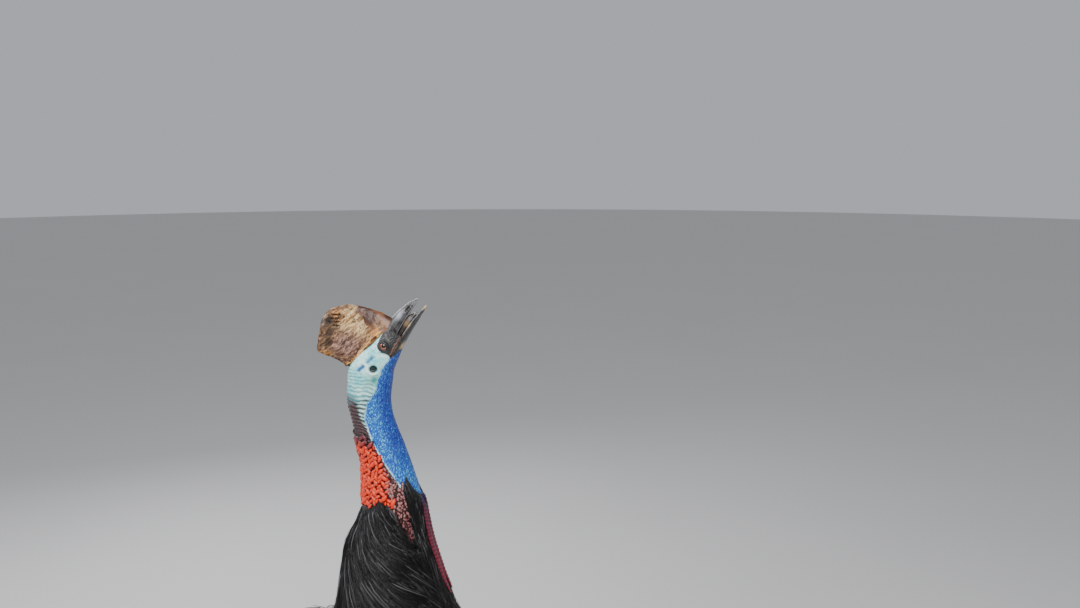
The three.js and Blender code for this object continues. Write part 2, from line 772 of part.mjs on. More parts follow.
const THIGH = [
  { at: -0.26, deep: 38, wide: 28 },
  { at: -0.14, deep: 74, wide: 50 },
  { at: 0, deep: 92, wide: 62 },
  { at: 0.25, deep: 84, wide: 58 },
  { at: 0.5, deep: 66, wide: 50 },
  { at: 0.75, deep: 44, wide: 39 },
  { at: 0.96, deep: 29, wide: 29 },
];

function legPoints(side) {
  const knee = new THREE.Vector3(KNEE.x + stride(side) * 0.5, KNEE.y * side, KNEE.z);
  const hock = new THREE.Vector3(HOCK.x + stride(side) * 0.8, HOCK.y * side, HOCK.z);
  const sole = new THREE.Vector3(SOLE.x + stride(side), FOOT_APART * side, SOLE.z);
  return { knee, hock, sole };
}

function thighSpot(side, share) {
  const { knee, hock } = legPoints(side);
  return knee.clone().lerp(hock, share);
}

function thighLoft(side, grow = 0) {
  const { knee, hock } = legPoints(side);
  const ahead = hock.clone().sub(knee).normalize();
  const stations = spread(THIGH[0].at, 0.96, 9).map((share) => ({
    at: thighSpot(side, share),
    ahead,
    deep: between(THIGH, share, "deep"),
    wide: between(THIGH, share, "wide"),
  }));
  return limbLoft(stations, 12, grow);
}

function thighLocks(side, grow = 0) {
  const random = randomFrom(53);
  const { knee, hock } = legPoints(side);
  const ahead = hock.clone().sub(knee).normalize();
  const over = new THREE.Vector3().crossVectors(ahead, LEFTWARD).normalize();
  const off = (point) => {
    const share = THREE.MathUtils.clamp(
      point.clone().sub(knee).dot(ahead) / knee.distanceTo(hock),
      0,
      0.96,
    );
    const from = point.clone().sub(thighSpot(side, share));
    from.addScaledVector(ahead, -from.dot(ahead));
    const deep = between(THIGH, share, "deep");
    const wide = between(THIGH, share, "wide");
    const size = Math.hypot(from.dot(over) / deep, from.y / wide);
    return { height: (1 - 1 / size) * from.length(), out: from.normalize() };
  };
  return [
    { share: 0.4, length: 120, wide: 54, count: 6 },
    { share: 0.67, length: 84, wide: 42, count: 6 },
  ].flatMap((tier, row) =>
    spread(0, Math.PI * 2, tier.count + 1)
      .slice(0, -1)
      .map((turn) => {
        const angle = turn + row * 0.52 + random(-0.08, 0.08);
        const root = thighSpot(side, tier.share)
          .addScaledVector(over, between(THIGH, tier.share, "deep") * Math.cos(angle))
          .addScaledVector(LEFTWARD, between(THIGH, tier.share, "wide") * Math.sin(angle));
        const path = strand(root, ahead, {
          length: tier.length * random(0.92, 1.08),
          lift: 9,
          droop: 0.02,
          steps: 3,
          off,
          sink: 10,
        });
        return vane(path, tier.wide, 3.5, grow);
      }),
  );
}

// Shank: the bare, scaled tarsus from the hock to the pad under the toes' roots
const PAD = { radius: 34, height: 22, length: 1.05 };
const SHANK_PLATES = 8;
const PLATE_RISE = 1.3;
const SHANK = [
  { at: 0.16, deep: 26 },
  { at: 0.3, deep: TARSUS_RADIUS },
  { at: 0.75, deep: TARSUS_RADIUS - 1 },
  { at: 0.92, deep: 26 },
  { at: 1, deep: 26 },
];

function shank(side, grow = 0) {
  const { knee, hock, sole } = legPoints(side);
  const ahead = sole.clone().sub(hock).normalize();
  const folding = hock.clone().sub(knee).normalize();
  const bend = folding.clone().addScaledVector(ahead, 1.5);
  const hockStations = [
    { at: thighSpot(side, 0.9), ahead: folding, deep: 25, wide: 24 },
    { at: thighSpot(side, 0.97), ahead: folding.clone().add(ahead), deep: 30, wide: 27 },
    { at: hock.clone().lerp(sole, 0.02), ahead: bend, deep: 34, wide: 29 },
    { at: hock.clone().lerp(sole, 0.1), ahead, deep: 30, wide: 26 },
  ];
  const plates = spread(0.16, 1, SHANK_PLATES * 2).map((share, i) => {
    const size = between(SHANK, share, "deep");
    const plate = i % 2 ? -PLATE_RISE : PLATE_RISE;
    return { at: hock.clone().lerp(sole, share), ahead, deep: size, wide: size * 0.92, plate };
  });
  const pad = new THREE.SphereGeometry(PAD.radius + grow, 10, 6).scale(PAD.length, 1, 1);
  pad.translate(sole.x, sole.y, PAD.height);
  return joined([limbLoft([...hockStations, ...plates], 10, grow), solid(pad)]).intersect(slab(-grow, 900));
}

// Toes: the middle one longest, the inner one short, with the long dagger of a claw
const TOES = {
  inner: { turn: -27, length: 102, radius: 16.5, claw: 112, clawRadius: 11, clawDroop: 10 },
  middle: { turn: 2, length: 172, radius: 19, claw: 40, clawRadius: 10, clawDroop: 9 },
  outer: { turn: 31, length: 118, radius: 16, claw: 33, clawRadius: 8.5, clawDroop: 8 },
};
const KNUCKLE_PITCH = 42;
const SCUTE_PITCH = 27;

function toeFrame(side, toe) {
  const { sole } = legPoints(side);
  const turn = THREE.MathUtils.degToRad(TOES[toe].turn) * side;
  const forward = new THREE.Vector3(Math.cos(turn), Math.sin(turn), 0);
  const across = new THREE.Vector3(-Math.sin(turn), Math.cos(turn), 0);
  const start = sole.clone().setZ(0).addScaledVector(forward, 12);
  return { forward, across, start };
}

function toe(side, name, grow = 0) {
  const { forward, across, start } = toeFrame(side, name);
  const { length, radius } = TOES[name];
  const scale = spread(0, length, Math.round(length / SCUTE_PITCH) * 2 + 1);
  const rings = scale.map((far, i) => {
    const share = far / length;
    const knuckle = 1 + 0.07 * Math.cos((far / KNUCKLE_PITCH) * Math.PI * 2);
    const size = radius * (1.12 - 0.3 * share) * knuckle + grow;
    const plate = i % 2 ? 1.6 : -0.4;
    return spread(0, Math.PI * 2, 9)
      .slice(0, -1)
      .map((angle) => {
        const top = Math.max(0, Math.cos(angle));
        return start
          .clone()
          .addScaledVector(forward, far)
          .addScaledVector(across, size * Math.sin(angle))
          .setZ(size * 0.78 + (size * 0.95 + plate * top) * Math.cos(angle) + 8 * (1 - share));
      });
  });
  return loft(rings).intersect(slab(-grow, 300));
}

function claw(side, name) {
  const { forward, across, start } = toeFrame(side, name);
  const { length, claw: reach, clawRadius, clawDroop } = TOES[name];
  const high = clawRadius + 6;
  const rings = spread(0, 0.93, 5).map((share) => {
    const size = clawRadius * (1 - share) ** 0.62;
    return spread(0, Math.PI * 2, 9)
      .slice(0, -1)
      .map((angle) =>
        start
          .clone()
          .addScaledVector(forward, length + GAP + reach * share)
          .addScaledVector(across, size * 0.8 * Math.sin(angle))
          .setZ(high - clawDroop * share ** 1.6 + size * Math.cos(angle)),
      );
  });
  const tip = start.clone().addScaledVector(forward, length + reach).setZ(high - clawDroop);
  return loft(rings, undefined, tip);
}

// Wings: a stub on the flank with bare quills in place of flight feathers
const WING = { along: 92, angle: 66, length: 105, radius: 19, lift: 24 };
const QUILL = { count: 5, length: 300, shorter: 62, radius: 3.2, taper: 0.09, lift: 33, droop: 0.11 };

function wing(side, grow = 0) {
  const at = THREE.MathUtils.degToRad(WING.angle) * side;
  const root = bodySkin(WING.along, at);
  const lie = BODY_FORWARD.clone().multiplyScalar(-0.72).addScaledVector(GRAVITY, 0.62);
  const off = (point) => offCoat(point);
  const arm = strand(root, lie, { length: WING.length, lift: WING.lift, droop: 0.05, steps: 4, off, sink: 10 });
  const stations = arm.map(({ at: spot, out }, i) => ({ spot, out, size: WING.radius * (1 - 0.16 * i) }));
  const rings = stations.map(({ spot, out, size }, i) => {
    const next = stations[Math.min(i + 1, stations.length - 1)].spot;
    const last = stations[Math.max(i - 1, 0)].spot;
    const ahead = next.clone().sub(last).normalize();
    const across = new THREE.Vector3().crossVectors(out, ahead).normalize();
    const over = new THREE.Vector3().crossVectors(ahead, across);
    return spread(0, Math.PI * 2, 9)
      .slice(0, -1)
      .map((angle) =>
        spot
          .clone()
          .addScaledVector(across, (size + grow) * Math.cos(angle))
          .addScaledVector(over, (size * 0.5 + grow) * Math.sin(angle)),
      );
  });
  const quills = spread(0, 1, QUILL.count).map((share) => {
    const from = arm[2].at.clone().lerp(arm[4].at, 0.2 + 0.6 * share);
    const fan = lie.clone().addScaledVector(GRAVITY, 1.1 - 1.5 * share);
    const path = strand(from, fan, {
      length: QUILL.length - QUILL.shorter * Math.abs(share - 0.4),
      lift: QUILL.lift,
      droop: QUILL.droop,
      steps: 4,
      off,
      sink: 0,
    });
    const turns = path.slice(0, -1).map(({ at: spot, out }, k) => {
      const ahead = path[k + 1].at.clone().sub(spot).normalize();
      const across = new THREE.Vector3().crossVectors(out, ahead).normalize();
      const over = new THREE.Vector3().crossVectors(ahead, across);
      const size = QUILL.radius * (1 - QUILL.taper * k) + grow;
      return spread(0, Math.PI * 2, 5)
        .slice(0, -1)
        .map((angle) =>
          spot
            .clone()
            .addScaledVector(across, size * Math.cos(angle))
            .addScaledVector(over, size * Math.sin(angle)),
        );
    });
    const beyond = path.at(-1).at.clone().sub(path.at(-2).at).normalize();
    return loft(turns, undefined, path.at(-1).at.clone().addScaledVector(beyond, grow * 12));
  });
  return joined([loft(rings), ...quills]);
}

// Assembly: feathers are fused to their own core, and each node is cut clear of its neighbours.

const bird = new THREE.Group();
const add = (name, made, material) => bird.add(meshOf(name, made, material));
const both = (make) => Object.values(SIDES).map(make);

const grownNeck = neckLoft(GAP);
const bodyCore = bodyLoft();
const grownBody = joined([bodyLoft(GAP), grownNeck.intersect(slab(800, CUT.base + GAP / 2))]);
const grownTail = joined([tailLoft(GAP), ...tailLocks(GAP)]);
const grownThighs = both((side) => joined([thighLoft(side, GAP), ...thighLocks(side, GAP)]));
const grownWattles = joined(both((side) => wattle(side, GAP)));
const grownWings = joined(both((side) => wing(side, GAP)));

const { upper: upperBill, lower: lowerBill } = bills();
const seat = joined([headLoft(SKULL, SKULL_ENDS, { grow: GAP }), grownNeck]);
add("head", head(), FACE_SKIN);
add("casque", casque().subtract(seat), CASQUE_HORN);
add("bill_upper", upperBill.subtract(casque(GAP)), BILL_HORN);
add("bill_lower", lowerBill, BILL_HORN);
add("neck_upper", neckPiece(CUT.head, CUT.upper), NECK_SKIN);
add("neck_middle", neckPiece(CUT.upper, CUT.middle), NECK_SKIN);

const nape = joined([neckPiece(CUT.middle, CUT.lower), ...napeBulbs(), ...sideBulbs(CUT.lower, CUT.middle)]);
add("neck_lower", nape.intersect(slab(CUT.lower + GAP / 2, CUT.middle - GAP / 2)), NAPE_SKIN);

const collar = joined([
  neckPiece(CUT.lower, CUT.base),
  ...collarLocks(COLLAR).map((lock) => lock.intersect(slab(900, CUT.lower - GAP / 2))),
  ...sideBulbs(CUT.base, CUT.lower),
]);
add("neck_base", collar.subtract(grownBody).subtract(grownWattles), PLUMAGE);

const torso = joined([
  bodyCore,
  neckCore.intersect(slab(860, CUT.base - GAP / 2)),
  ...bodyLocks(),
  ...collarLocks(MANTLE),
]);
const besideBody = joined([grownTail, ...grownThighs]).subtract(bodyCore);
const overBody = joined([grownWings, grownWattles, besideBody, ...collarLocks(COLLAR, GAP)]);
add("torso", torso.subtract(overBody), PLUMAGE);
add("tail", joined([tailLoft(), ...tailLocks()]).subtract(grownBody), PLUMAGE);

Object.entries(SIDES).forEach(([label, side], i) => {
  const thigh = joined([thighLoft(side), ...thighLocks(side)]);
  const grownShank = shank(side, GAP);
  const grownMiddleToe = toe(side, "middle", GAP);
  add(`eye_${label}`, eyeball(side, 0), EYEBALL);
  add(`wattle_${label}`, wattle(side).subtract(grownNeck), WATTLE_SKIN);
  add(`wing_${label}`, wing(side), QUILL_HORN);
  add(`thigh_${label}`, thigh.subtract(grownBody).subtract(grownTail), PLUMAGE);
  add(`shank_${label}`, shank(side).subtract(grownThighs[i]), LEG_SCALE);
  Object.keys(TOES).forEach((name) => {
    const made = toe(side, name).subtract(grownShank);
    add(`toe_${name}_${label}`, name === "middle" ? made : made.subtract(grownMiddleToe), LEG_SCALE);
    add(`claw_${name}_${label}`, claw(side, name), CLAW_HORN);
  });
});

// The origin moves to the floor, under the middle of the whole bird.
const box = new THREE.Box3().setFromObject(bird);
const middle = box.getCenter(new THREE.Vector3()).setZ(box.min.z);
bird.children.forEach((mesh) => mesh.geometry.translate(-middle.x, -middle.y, -middle.z));

export default bird;
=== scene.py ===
"""The looks of a life-size southern cassowary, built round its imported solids.

Shapes are worked out in the bird's own frame, in millimetres: x the way it faces, y its left and z up
from the floor, from the same named sizes as the solids. A mesh is moved to the row frame, in metres,
when it is made.
"""

import logging
import math
from dataclasses import dataclass, field
from enum import Enum

import bpy
import numpy as np
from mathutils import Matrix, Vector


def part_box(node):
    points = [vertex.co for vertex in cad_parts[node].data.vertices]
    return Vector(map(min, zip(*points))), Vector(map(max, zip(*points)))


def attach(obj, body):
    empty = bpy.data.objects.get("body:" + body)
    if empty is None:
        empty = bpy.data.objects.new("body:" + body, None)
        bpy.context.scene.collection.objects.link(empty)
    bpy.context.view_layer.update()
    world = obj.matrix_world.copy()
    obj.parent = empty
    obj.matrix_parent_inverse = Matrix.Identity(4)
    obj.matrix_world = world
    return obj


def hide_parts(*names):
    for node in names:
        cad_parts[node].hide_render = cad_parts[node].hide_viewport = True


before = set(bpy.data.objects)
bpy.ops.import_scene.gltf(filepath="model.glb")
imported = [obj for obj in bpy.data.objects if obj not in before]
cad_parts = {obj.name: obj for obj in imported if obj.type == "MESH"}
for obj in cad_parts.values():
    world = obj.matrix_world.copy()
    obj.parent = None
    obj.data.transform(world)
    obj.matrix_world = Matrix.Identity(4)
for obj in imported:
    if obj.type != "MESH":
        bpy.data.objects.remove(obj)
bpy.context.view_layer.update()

LOG = logging.getLogger("cassowary")
Array = np.ndarray
Material = bpy.types.Material
Socket = bpy.types.NodeSocket
Surface = tuple[Socket, Socket, Socket, float]
Triple = tuple[float, float, float]

# The camera's film width, and the large odd numbers that scatter a place into a random value
FILM = 36.0
HASH_X, HASH_Y, HASH_Z = 73856093, 19349663, 83492791
HASH_SEED, HASH_MIX = 2654435761, 1274126177

# The head's own origin and tilt, the eye's place in it, and the trunk's middle and tilt
HEAD_HEIGHT = 1590.0
HEAD_RISE = math.radians(54)
BODY_RISE = math.radians(22)
EYE_ALONG, EYE_UP, EYE_APART, EYE_RADIUS = 9.0, -1.4, 18.5, 14.0
LEFTWARD = np.array([0.0, 1.0, 0.0])
DOWNWARD = np.array([0.0, 0.0, -1.0])
HEAD_FORWARD = np.array([math.cos(HEAD_RISE), 0.0, math.sin(HEAD_RISE)])
HEAD_UP = np.array([-math.sin(HEAD_RISE), 0.0, math.cos(HEAD_RISE)])
BODY_CENTRE = np.array([-175.0, 0.0, 785.0])
BODY_FORWARD = np.array([math.cos(BODY_RISE), 0.0, math.sin(BODY_RISE)])
BODY_UP = np.array([-math.sin(BODY_RISE), 0.0, math.cos(BODY_RISE)])


class Side(Enum):
    """The bird's two sides, by the sign of y."""

    LEFT = 1
    RIGHT = -1

    @property
    def label(self) -> str:
        """The side's name as the nodes spell it."""
        return self.name.lower()


# Places and small formulas


def head_point(along: Array, up: Array, y: Array) -> Array:
    """Turns places in the head's frame into points: along the bill, up from it, and to the left.

    Args:
        along: Distances along the bill from the point between the eyes and the ears.
        up: Distances square to the bill, upwards.
        y: Distances to the bird's left.

    Returns:
        Points with one more axis than the inputs, broadcast together.
    """
    along, up, y = np.broadcast_arrays(np.asarray(along, float), up, y)
    middle = np.array([0.0, 0.0, HEAD_HEIGHT])
    return middle + along[..., None] * HEAD_FORWARD + up[..., None] * HEAD_UP + y[..., None] * LEFTWARD


def head_place(points: Array) -> tuple[Array, Array]:
    """Gives each point's distance along the bill and up from it."""
    from_head = points - np.array([0.0, 0.0, HEAD_HEIGHT])
    return from_head @ HEAD_FORWARD, from_head @ HEAD_UP


def body_point(along: Array, up: Array, y: Array) -> Array:
    """Turns places in the body's frame, whose axis rises to the breast, into points.

    Args:
        along: Distances along the axis, to the breast.
        up: Distances square to it, upwards.
        y: Distances to the bird's left.

    Returns:
        Points with one more axis than the inputs.
    """
    along, up, y = np.broadcast_arrays(np.asarray(along, float), up, y)
    return BODY_CENTRE + along[..., None] * BODY_FORWARD + up[..., None] * BODY_UP + y[..., None] * LEFTWARD


def smooth(value: Array, low: float, high: float) -> Array:
    """A step from 0 at low to 1 at high whose slope is zero at both ends: 3t² − 2t³."""
    t = np.clip((np.asarray(value, float) - low) / (high - low), 0.0, 1.0)
    return t * t * (3 - 2 * t)


def hump(value: Array, middle: float, width: float) -> Array:
    """A bell of height 1 about a middle, exp(−((v − middle) / width)²)."""
    return np.exp(-(((value - middle) / width) ** 2))


def between(value: Array, start: float, full: float, fade: float, end: float) -> Array:
    """1 from full to fade, with smooth steps up from start and down to end."""
    return smooth(value, start, full) * (1 - smooth(value, fade, end))


def unit(vectors: Array) -> Array:
    """Vectors divided by their own lengths."""
    return vectors / np.maximum(np.linalg.norm(vectors, axis=-1, keepdims=True), 1e-9)


def turns(count: int) -> Array:
    """The angles of a full turn cut into equal parts."""
    return np.linspace(0, 2 * math.pi, count + 1)[:-1]


def lattice(rows: Array, count: int) -> list[Array]:
    """Two grids that pair every row's value with every angle of a turn cut into equal parts."""
    return np.meshgrid(rows, turns(count), indexing="ij")


def noise(points: Array, size: float, seed: int = 0) -> Array:
    """Smooth random values from −1 to 1.

    Each corner of a lattice of cubes holds a number drawn from a hash of its place, and a point takes
    the corners' numbers blended by smooth steps along each axis.

    Args:
        points: Points, in millimetres.
        size: The cubes' edge.
        seed: A different seed gives a different field.

    Returns:
        One value a point.
    """
    scaled = points / size
    cell = np.floor(scaled).astype(np.int64)
    t = scaled - cell
    t = t * t * (3 - 2 * t)
    total = np.zeros(points.shape[:-1])
    for corner in np.ndindex(2, 2, 2):
        x, y, z = np.moveaxis(cell + np.array(corner), -1, 0)
        mixed = (x * HASH_X) ^ (y * HASH_Y) ^ (z * HASH_Z) ^ (seed * HASH_SEED)
        mixed = ((mixed ^ (mixed >> 13)) * HASH_MIX) & 0xFFFFFFFF
        drawn = ((mixed ^ (mixed >> 16)) & 0xFFFF) / 32767.5 - 1
        total += drawn * np.prod(np.where(np.array(corner) == 1, t, 1 - t), axis=-1)
    return total


def layered_noise(points: Array, size: float, seed: int = 0, layers: int = 3) -> Array:
    """Noise summed over layers, each with half the size and 0.55 of the weight of the last."""
    return sum(0.55**i * noise(points, size / 2**i, seed + i) for i in range(layers))


class Stations:
    """Sizes that run smoothly between given stations, through every station's own value."""

    def __init__(self, names: str, rows: list[tuple[float, ...]]) -> None:
        """Keeps the stations.

        Args:
            names: The sizes' names, in the order in which the rows give them.
            rows: One row a station: its place, then its sizes.
        """
        table = np.array(rows, float)
        self.at = table[:, 0]
        self.columns = {name: table[:, i + 1] for i, name in enumerate(names.split())}

    def __call__(self, name: str, at: Array) -> Array:
        """A cubic through two stations whose slope at each is that of the line between its neighbours.

        Args:
            name: The size that is wanted.
            at: Places, which are held inside the first and last stations.

        Returns:
            The size at each place.
        """
        values = self.columns[name]
        at = np.clip(at, self.at[0], self.at[-1])
        i = np.clip(np.searchsorted(self.at, at) - 1, 0, len(self.at) - 2)
        before = np.maximum(np.arange(len(values)) - 1, 0)
        after = np.minimum(np.arange(len(values)) + 1, len(values) - 1)
        slopes = (values[after] - values[before]) / (self.at[after] - self.at[before])
        span = self.at[i + 1] - self.at[i]
        t = (at - self.at[i]) / span
        rise = t * t * (3 - 2 * t)
        curve = slopes[i] * span * t * (1 - t) ** 2 - slopes[i + 1] * span * t * t * (1 - t)
        return values[i] * (1 - rise) + values[i + 1] * rise + curve


# Meshes


class RowFrame:
    """Turns the bird's own millimetres into the row frame's metres."""

    def __init__(self) -> None:
        """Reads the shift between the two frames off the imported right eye, a ball at a known place."""
        low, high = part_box("eye_right")
        packed = (np.array(low) + np.array(high)) * 500
        self.shift = packed - head_point(EYE_ALONG, EYE_UP, -EYE_APART)

    def metres(self, points: Array) -> Array:
        """Points in the row frame, in metres."""
        return (points + self.shift) / 1000


ROW = RowFrame()


@dataclass
class Shell:
    """A closed surface, or many in one mesh, with values kept at its points.

    Attributes:
        points: Corner points, in the bird's own millimetres.
        faces: Corner numbers, four a face. A triangle gives its last corner twice.
        values: Named numbers, one a point, for the finishes to read.
        uv: A place on a flat map for each point, or None.
    """

    points: Array
    faces: Array
    values: dict[str, Array] = field(default_factory=dict)
    uv: Array | None = None

    def volume(self) -> float:
        """Six times the volume that the faces close in, positive where they point outwards.

        Returns:
            Cubic millimetres, times six.
        """
        a, b, c, d = np.moveaxis(self.points[self.faces], 1, 0)
        first = np.einsum("ij,ij->i", a, np.cross(b, c))
        return float(np.sum(first + np.einsum("ij,ij->i", a, np.cross(c, d))))

    def outward(self) -> "Shell":
        """The same shell with its faces pointing outwards.

        Returns:
            This shell.
        """
        if self.volume() < 0:
            self.faces = self.faces[:, [2, 1, 0, 3]]
        return self

    def make(self, name: str, finish: Material) -> bpy.types.Object:
        """Puts the shell into a mesh object at the origin of the row frame.

        Args:
            name: The piece's name.
            finish: Its material.

        Returns:
            The new object, linked to the scene.
        """
        is_triangle = self.faces[:, 3] == self.faces[:, 2]
        counts = np.where(is_triangle, 3, 4)
        keep = np.ones(self.faces.shape, bool)
        keep[is_triangle, 3] = False
        corners = self.faces[keep]
        mesh = bpy.data.meshes.new(name)
        mesh.vertices.add(len(self.points))
        mesh.vertices.foreach_set("co", ROW.metres(self.points).astype(np.float32).ravel())
        mesh.loops.add(len(corners))
        mesh.loops.foreach_set("vertex_index", corners.astype(np.int32))
        mesh.polygons.add(len(counts))
        starts = np.concatenate([[0], np.cumsum(counts)[:-1]])
        mesh.polygons.foreach_set("loop_start", starts.astype(np.int32))
        mesh.update(calc_edges=True)
        mesh.polygons.foreach_set("use_smooth", np.ones(len(counts), bool))
        for label, numbers in self.values.items():
            layer = mesh.attributes.new(label, "FLOAT", "POINT")
            layer.data.foreach_set("value", np.asarray(numbers, np.float32))
        if self.uv is not None:
            layer = mesh.uv_layers.new(name="OFBake")
            layer.uv.foreach_set("vector", self.uv[corners].astype(np.float32).ravel())
        mesh.materials.append(finish)
        piece = bpy.data.objects.new(name, mesh)
        bpy.context.scene.collection.objects.link(piece)
        LOG.info("%s: %d points, %d faces", name, len(self.points), len(counts))
        return piece

    def install(self, name: str, finish: Material, slot: str, *nodes: str) -> None:
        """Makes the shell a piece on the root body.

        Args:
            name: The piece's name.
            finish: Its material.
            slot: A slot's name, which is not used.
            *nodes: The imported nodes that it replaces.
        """
        piece = self.make(name, finish)
        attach(piece, "root")
        if nodes:
            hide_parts(*nodes)


def joined(shells: list[Shell]) -> Shell:
    """One shell that holds all the given ones, which keep the same values.

    Args:
        shells: Shells whose values have the same names.

    Returns:
        The joined shell.
    """
    starts = np.cumsum([0] + [len(shell.points) for shell in shells[:-1]])
    faces = np.concatenate([shell.faces + start for shell, start in zip(shells, starts)])
    values = {name: np.concatenate([shell.values[name] for shell in shells]) for name in shells[0].values}
    return Shell(np.concatenate([shell.points for shell in shells]), faces, values)


def tubes(rings: Array, values: dict[str, Array] | None = None, tips: Array | None = None) -> Shell:
    """Closes skins over rings of points, for many tubes at once.

    A face joins points j and j + 1 of a ring to the same points of the next ring. Each end is a fan
    from the end ring to its middle, or to the tube's tip.

    Args:
        rings: Points, by tube, ring and place round the ring.
        values: Named numbers, by tube, ring and place.
        tips: The far end of each tube.

    Returns:
        One shell that holds all the tubes.
    """
    many, lengths, round_count = rings.shape[:3]
    near = rings[:, :1].mean(axis=2)
    far = rings[:, -1:].mean(axis=2) if tips is None else tips[:, None]
    body = rings.reshape(many, lengths * round_count, 3)
    points = np.concatenate([body, near, far], axis=1)
    each = points.shape[1]
    i, j = np.meshgrid(np.arange(lengths - 1), np.arange(round_count), indexing="ij")
    k = (j + 1) % round_count
    near_row, far_row = i * round_count, (i + 1) * round_count
    quads = np.stack([near_row + j, near_row + k, far_row + k, far_row + j], -1)
    ring = np.arange(round_count)
    following = (ring + 1) % round_count
    last = (lengths - 1) * round_count
    first_fan = np.stack([following, ring, np.full(round_count, each - 2)], -1)
    last_fan = np.stack([last + ring, last + following, np.full(round_count, each - 1)], -1)
    fans = np.concatenate([first_fan, last_fan])
    fans = np.concatenate([fans, fans[:, 2:]], axis=1)
    faces = np.concatenate([quads.reshape(-1, 4), fans])
    faces = (faces[None] + (np.arange(many) * each)[:, None, None]).reshape(-1, 4)
    kept = {}
    for name, numbers in (values or {}).items():
        flat = np.broadcast_to(numbers, rings.shape[:3]).reshape(many, -1)
        ends = [flat[:, :round_count].mean(1, keepdims=True), flat[:, -round_count:].mean(1, keepdims=True)]
        kept[name] = np.concatenate([flat, *ends], axis=1).ravel()
    return Shell(points.reshape(-1, 3), faces, kept).outward()


def tube(rings: Array, values: dict[str, Array] | None = None, tip: Array | None = None) -> Shell:
    """One closed tube over rings of points.

    Args:
        rings: Points, by ring and place round the ring.
        values: Named numbers, by ring and place.
        tip: Its far end.

    Returns:
        The tube's shell.
    """
    given = {name: numbers[None] for name, numbers in (values or {}).items()}
    return tubes(rings[None], given, None if tip is None else tip[None])


def grid_normals(grid: Array) -> Array:
    """Outward unit normals of a closed grid, by ring and place, from the slopes of its two directions.

    Args:
        grid: Points, by ring and place round it.

    Returns:
        One vector a point.
    """
    round_slope = np.roll(grid, -1, axis=1) - np.roll(grid, 1, axis=1)
    length_slope = np.gradient(grid, axis=0)
    normals = unit(np.cross(round_slope, length_slope))
    outward = grid - grid.mean(axis=1, keepdims=True)
    return normals * np.sign(np.sum(np.sum(normals * outward, axis=-1)))


def moved(grid: Array, relief: Array) -> Array:
    """A closed grid with each point moved along its outward normal."""
    return grid + grid_normals(grid) * relief[..., None]


# Forms: each gives, for any point, about how far it lies off the surface, negative inside.


class Form:
    """A rounded form that is known by its distance function."""

    def distance(self, points: Array) -> Array:
        """About how far each point lies off the surface.

        Args:
            points: Points, with x, y and z along the last axis.

        Returns:
            One distance a point, negative inside.
        """
        raise NotImplementedError

    def outward(self, points: Array) -> Array:
        """The unit slope of the distance, from differences over 2 mm along each axis.

        Args:
            points: Points near the surface.

        Returns:
            One unit vector a point.
        """
        steps = np.eye(3)
        slope = [self.distance(points + step) - self.distance(points - step) for step in steps]
        return unit(np.stack(slope, axis=-1))


def off_ring(share: Array, first: Array, second: Array) -> Array:
    """The distance from a ring along the ray from its middle, hypot(a, b) · (1 − 1 / share).

    Args:
        share: How far out each point lies, as a share of the ring's own reach.
        first: Distances from the ring's middle along one axis.
        second: Distances along the other.

    Returns:
        Distances, negative inside the ring.
    """
    return (1 - 1 / np.maximum(share, 1e-3)) * np.hypot(first, second)


def held(first: Array, second: Array, reach: float) -> Array:
    """The larger of two distances, rounded where they are within reach: a smooth cut."""
    return -blended(-first, -second, reach)


def blended(first: Array, second: Array, reach: float) -> Array:
    """The smaller of two distances, filled where they are within reach: a smooth union."""
    share = np.clip(0.5 + 0.5 * (second - first) / reach, 0, 1)
    return second * (1 - share) + first * share - reach * share * (1 - share)


class Skull(Form):
    """The head behind the bill: upright rings along the bill's line, fuller than ellipses."""

    sizes = Stations("top bottom wide", [
        (-95, 20, -46, 29), (-75, 31, -56, 33), (-50, 35, -54, 36), (-25, 34, -44, 35), (0, 28, -38, 30.5),
        (20, 23, -33, 24.5), (40, 18, -29, 19.5),
    ])
    fullness = 2.2
    back = -96.0

    def distance(self, points: Array) -> Array:
        """A ring's share, (|u/half|ⁿ + |y/wide|ⁿ)^(1/n), turned into a distance along the ray.

        Args:
            points: Points.

        Returns:
            Distances, negative inside.
        """
        along, up = head_place(points)
        top, bottom, wide = (self.sizes(name, along) for name in ("top", "bottom", "wide"))
        rise = up - (top + bottom) / 2
        y = points[..., 1]
        n = self.fullness
        share = (np.abs(rise / (top - bottom) * 2) ** n + np.abs(y / wide) ** n) ** (1 / n)
        return held(off_ring(share, rise, y), self.back - along, 9)


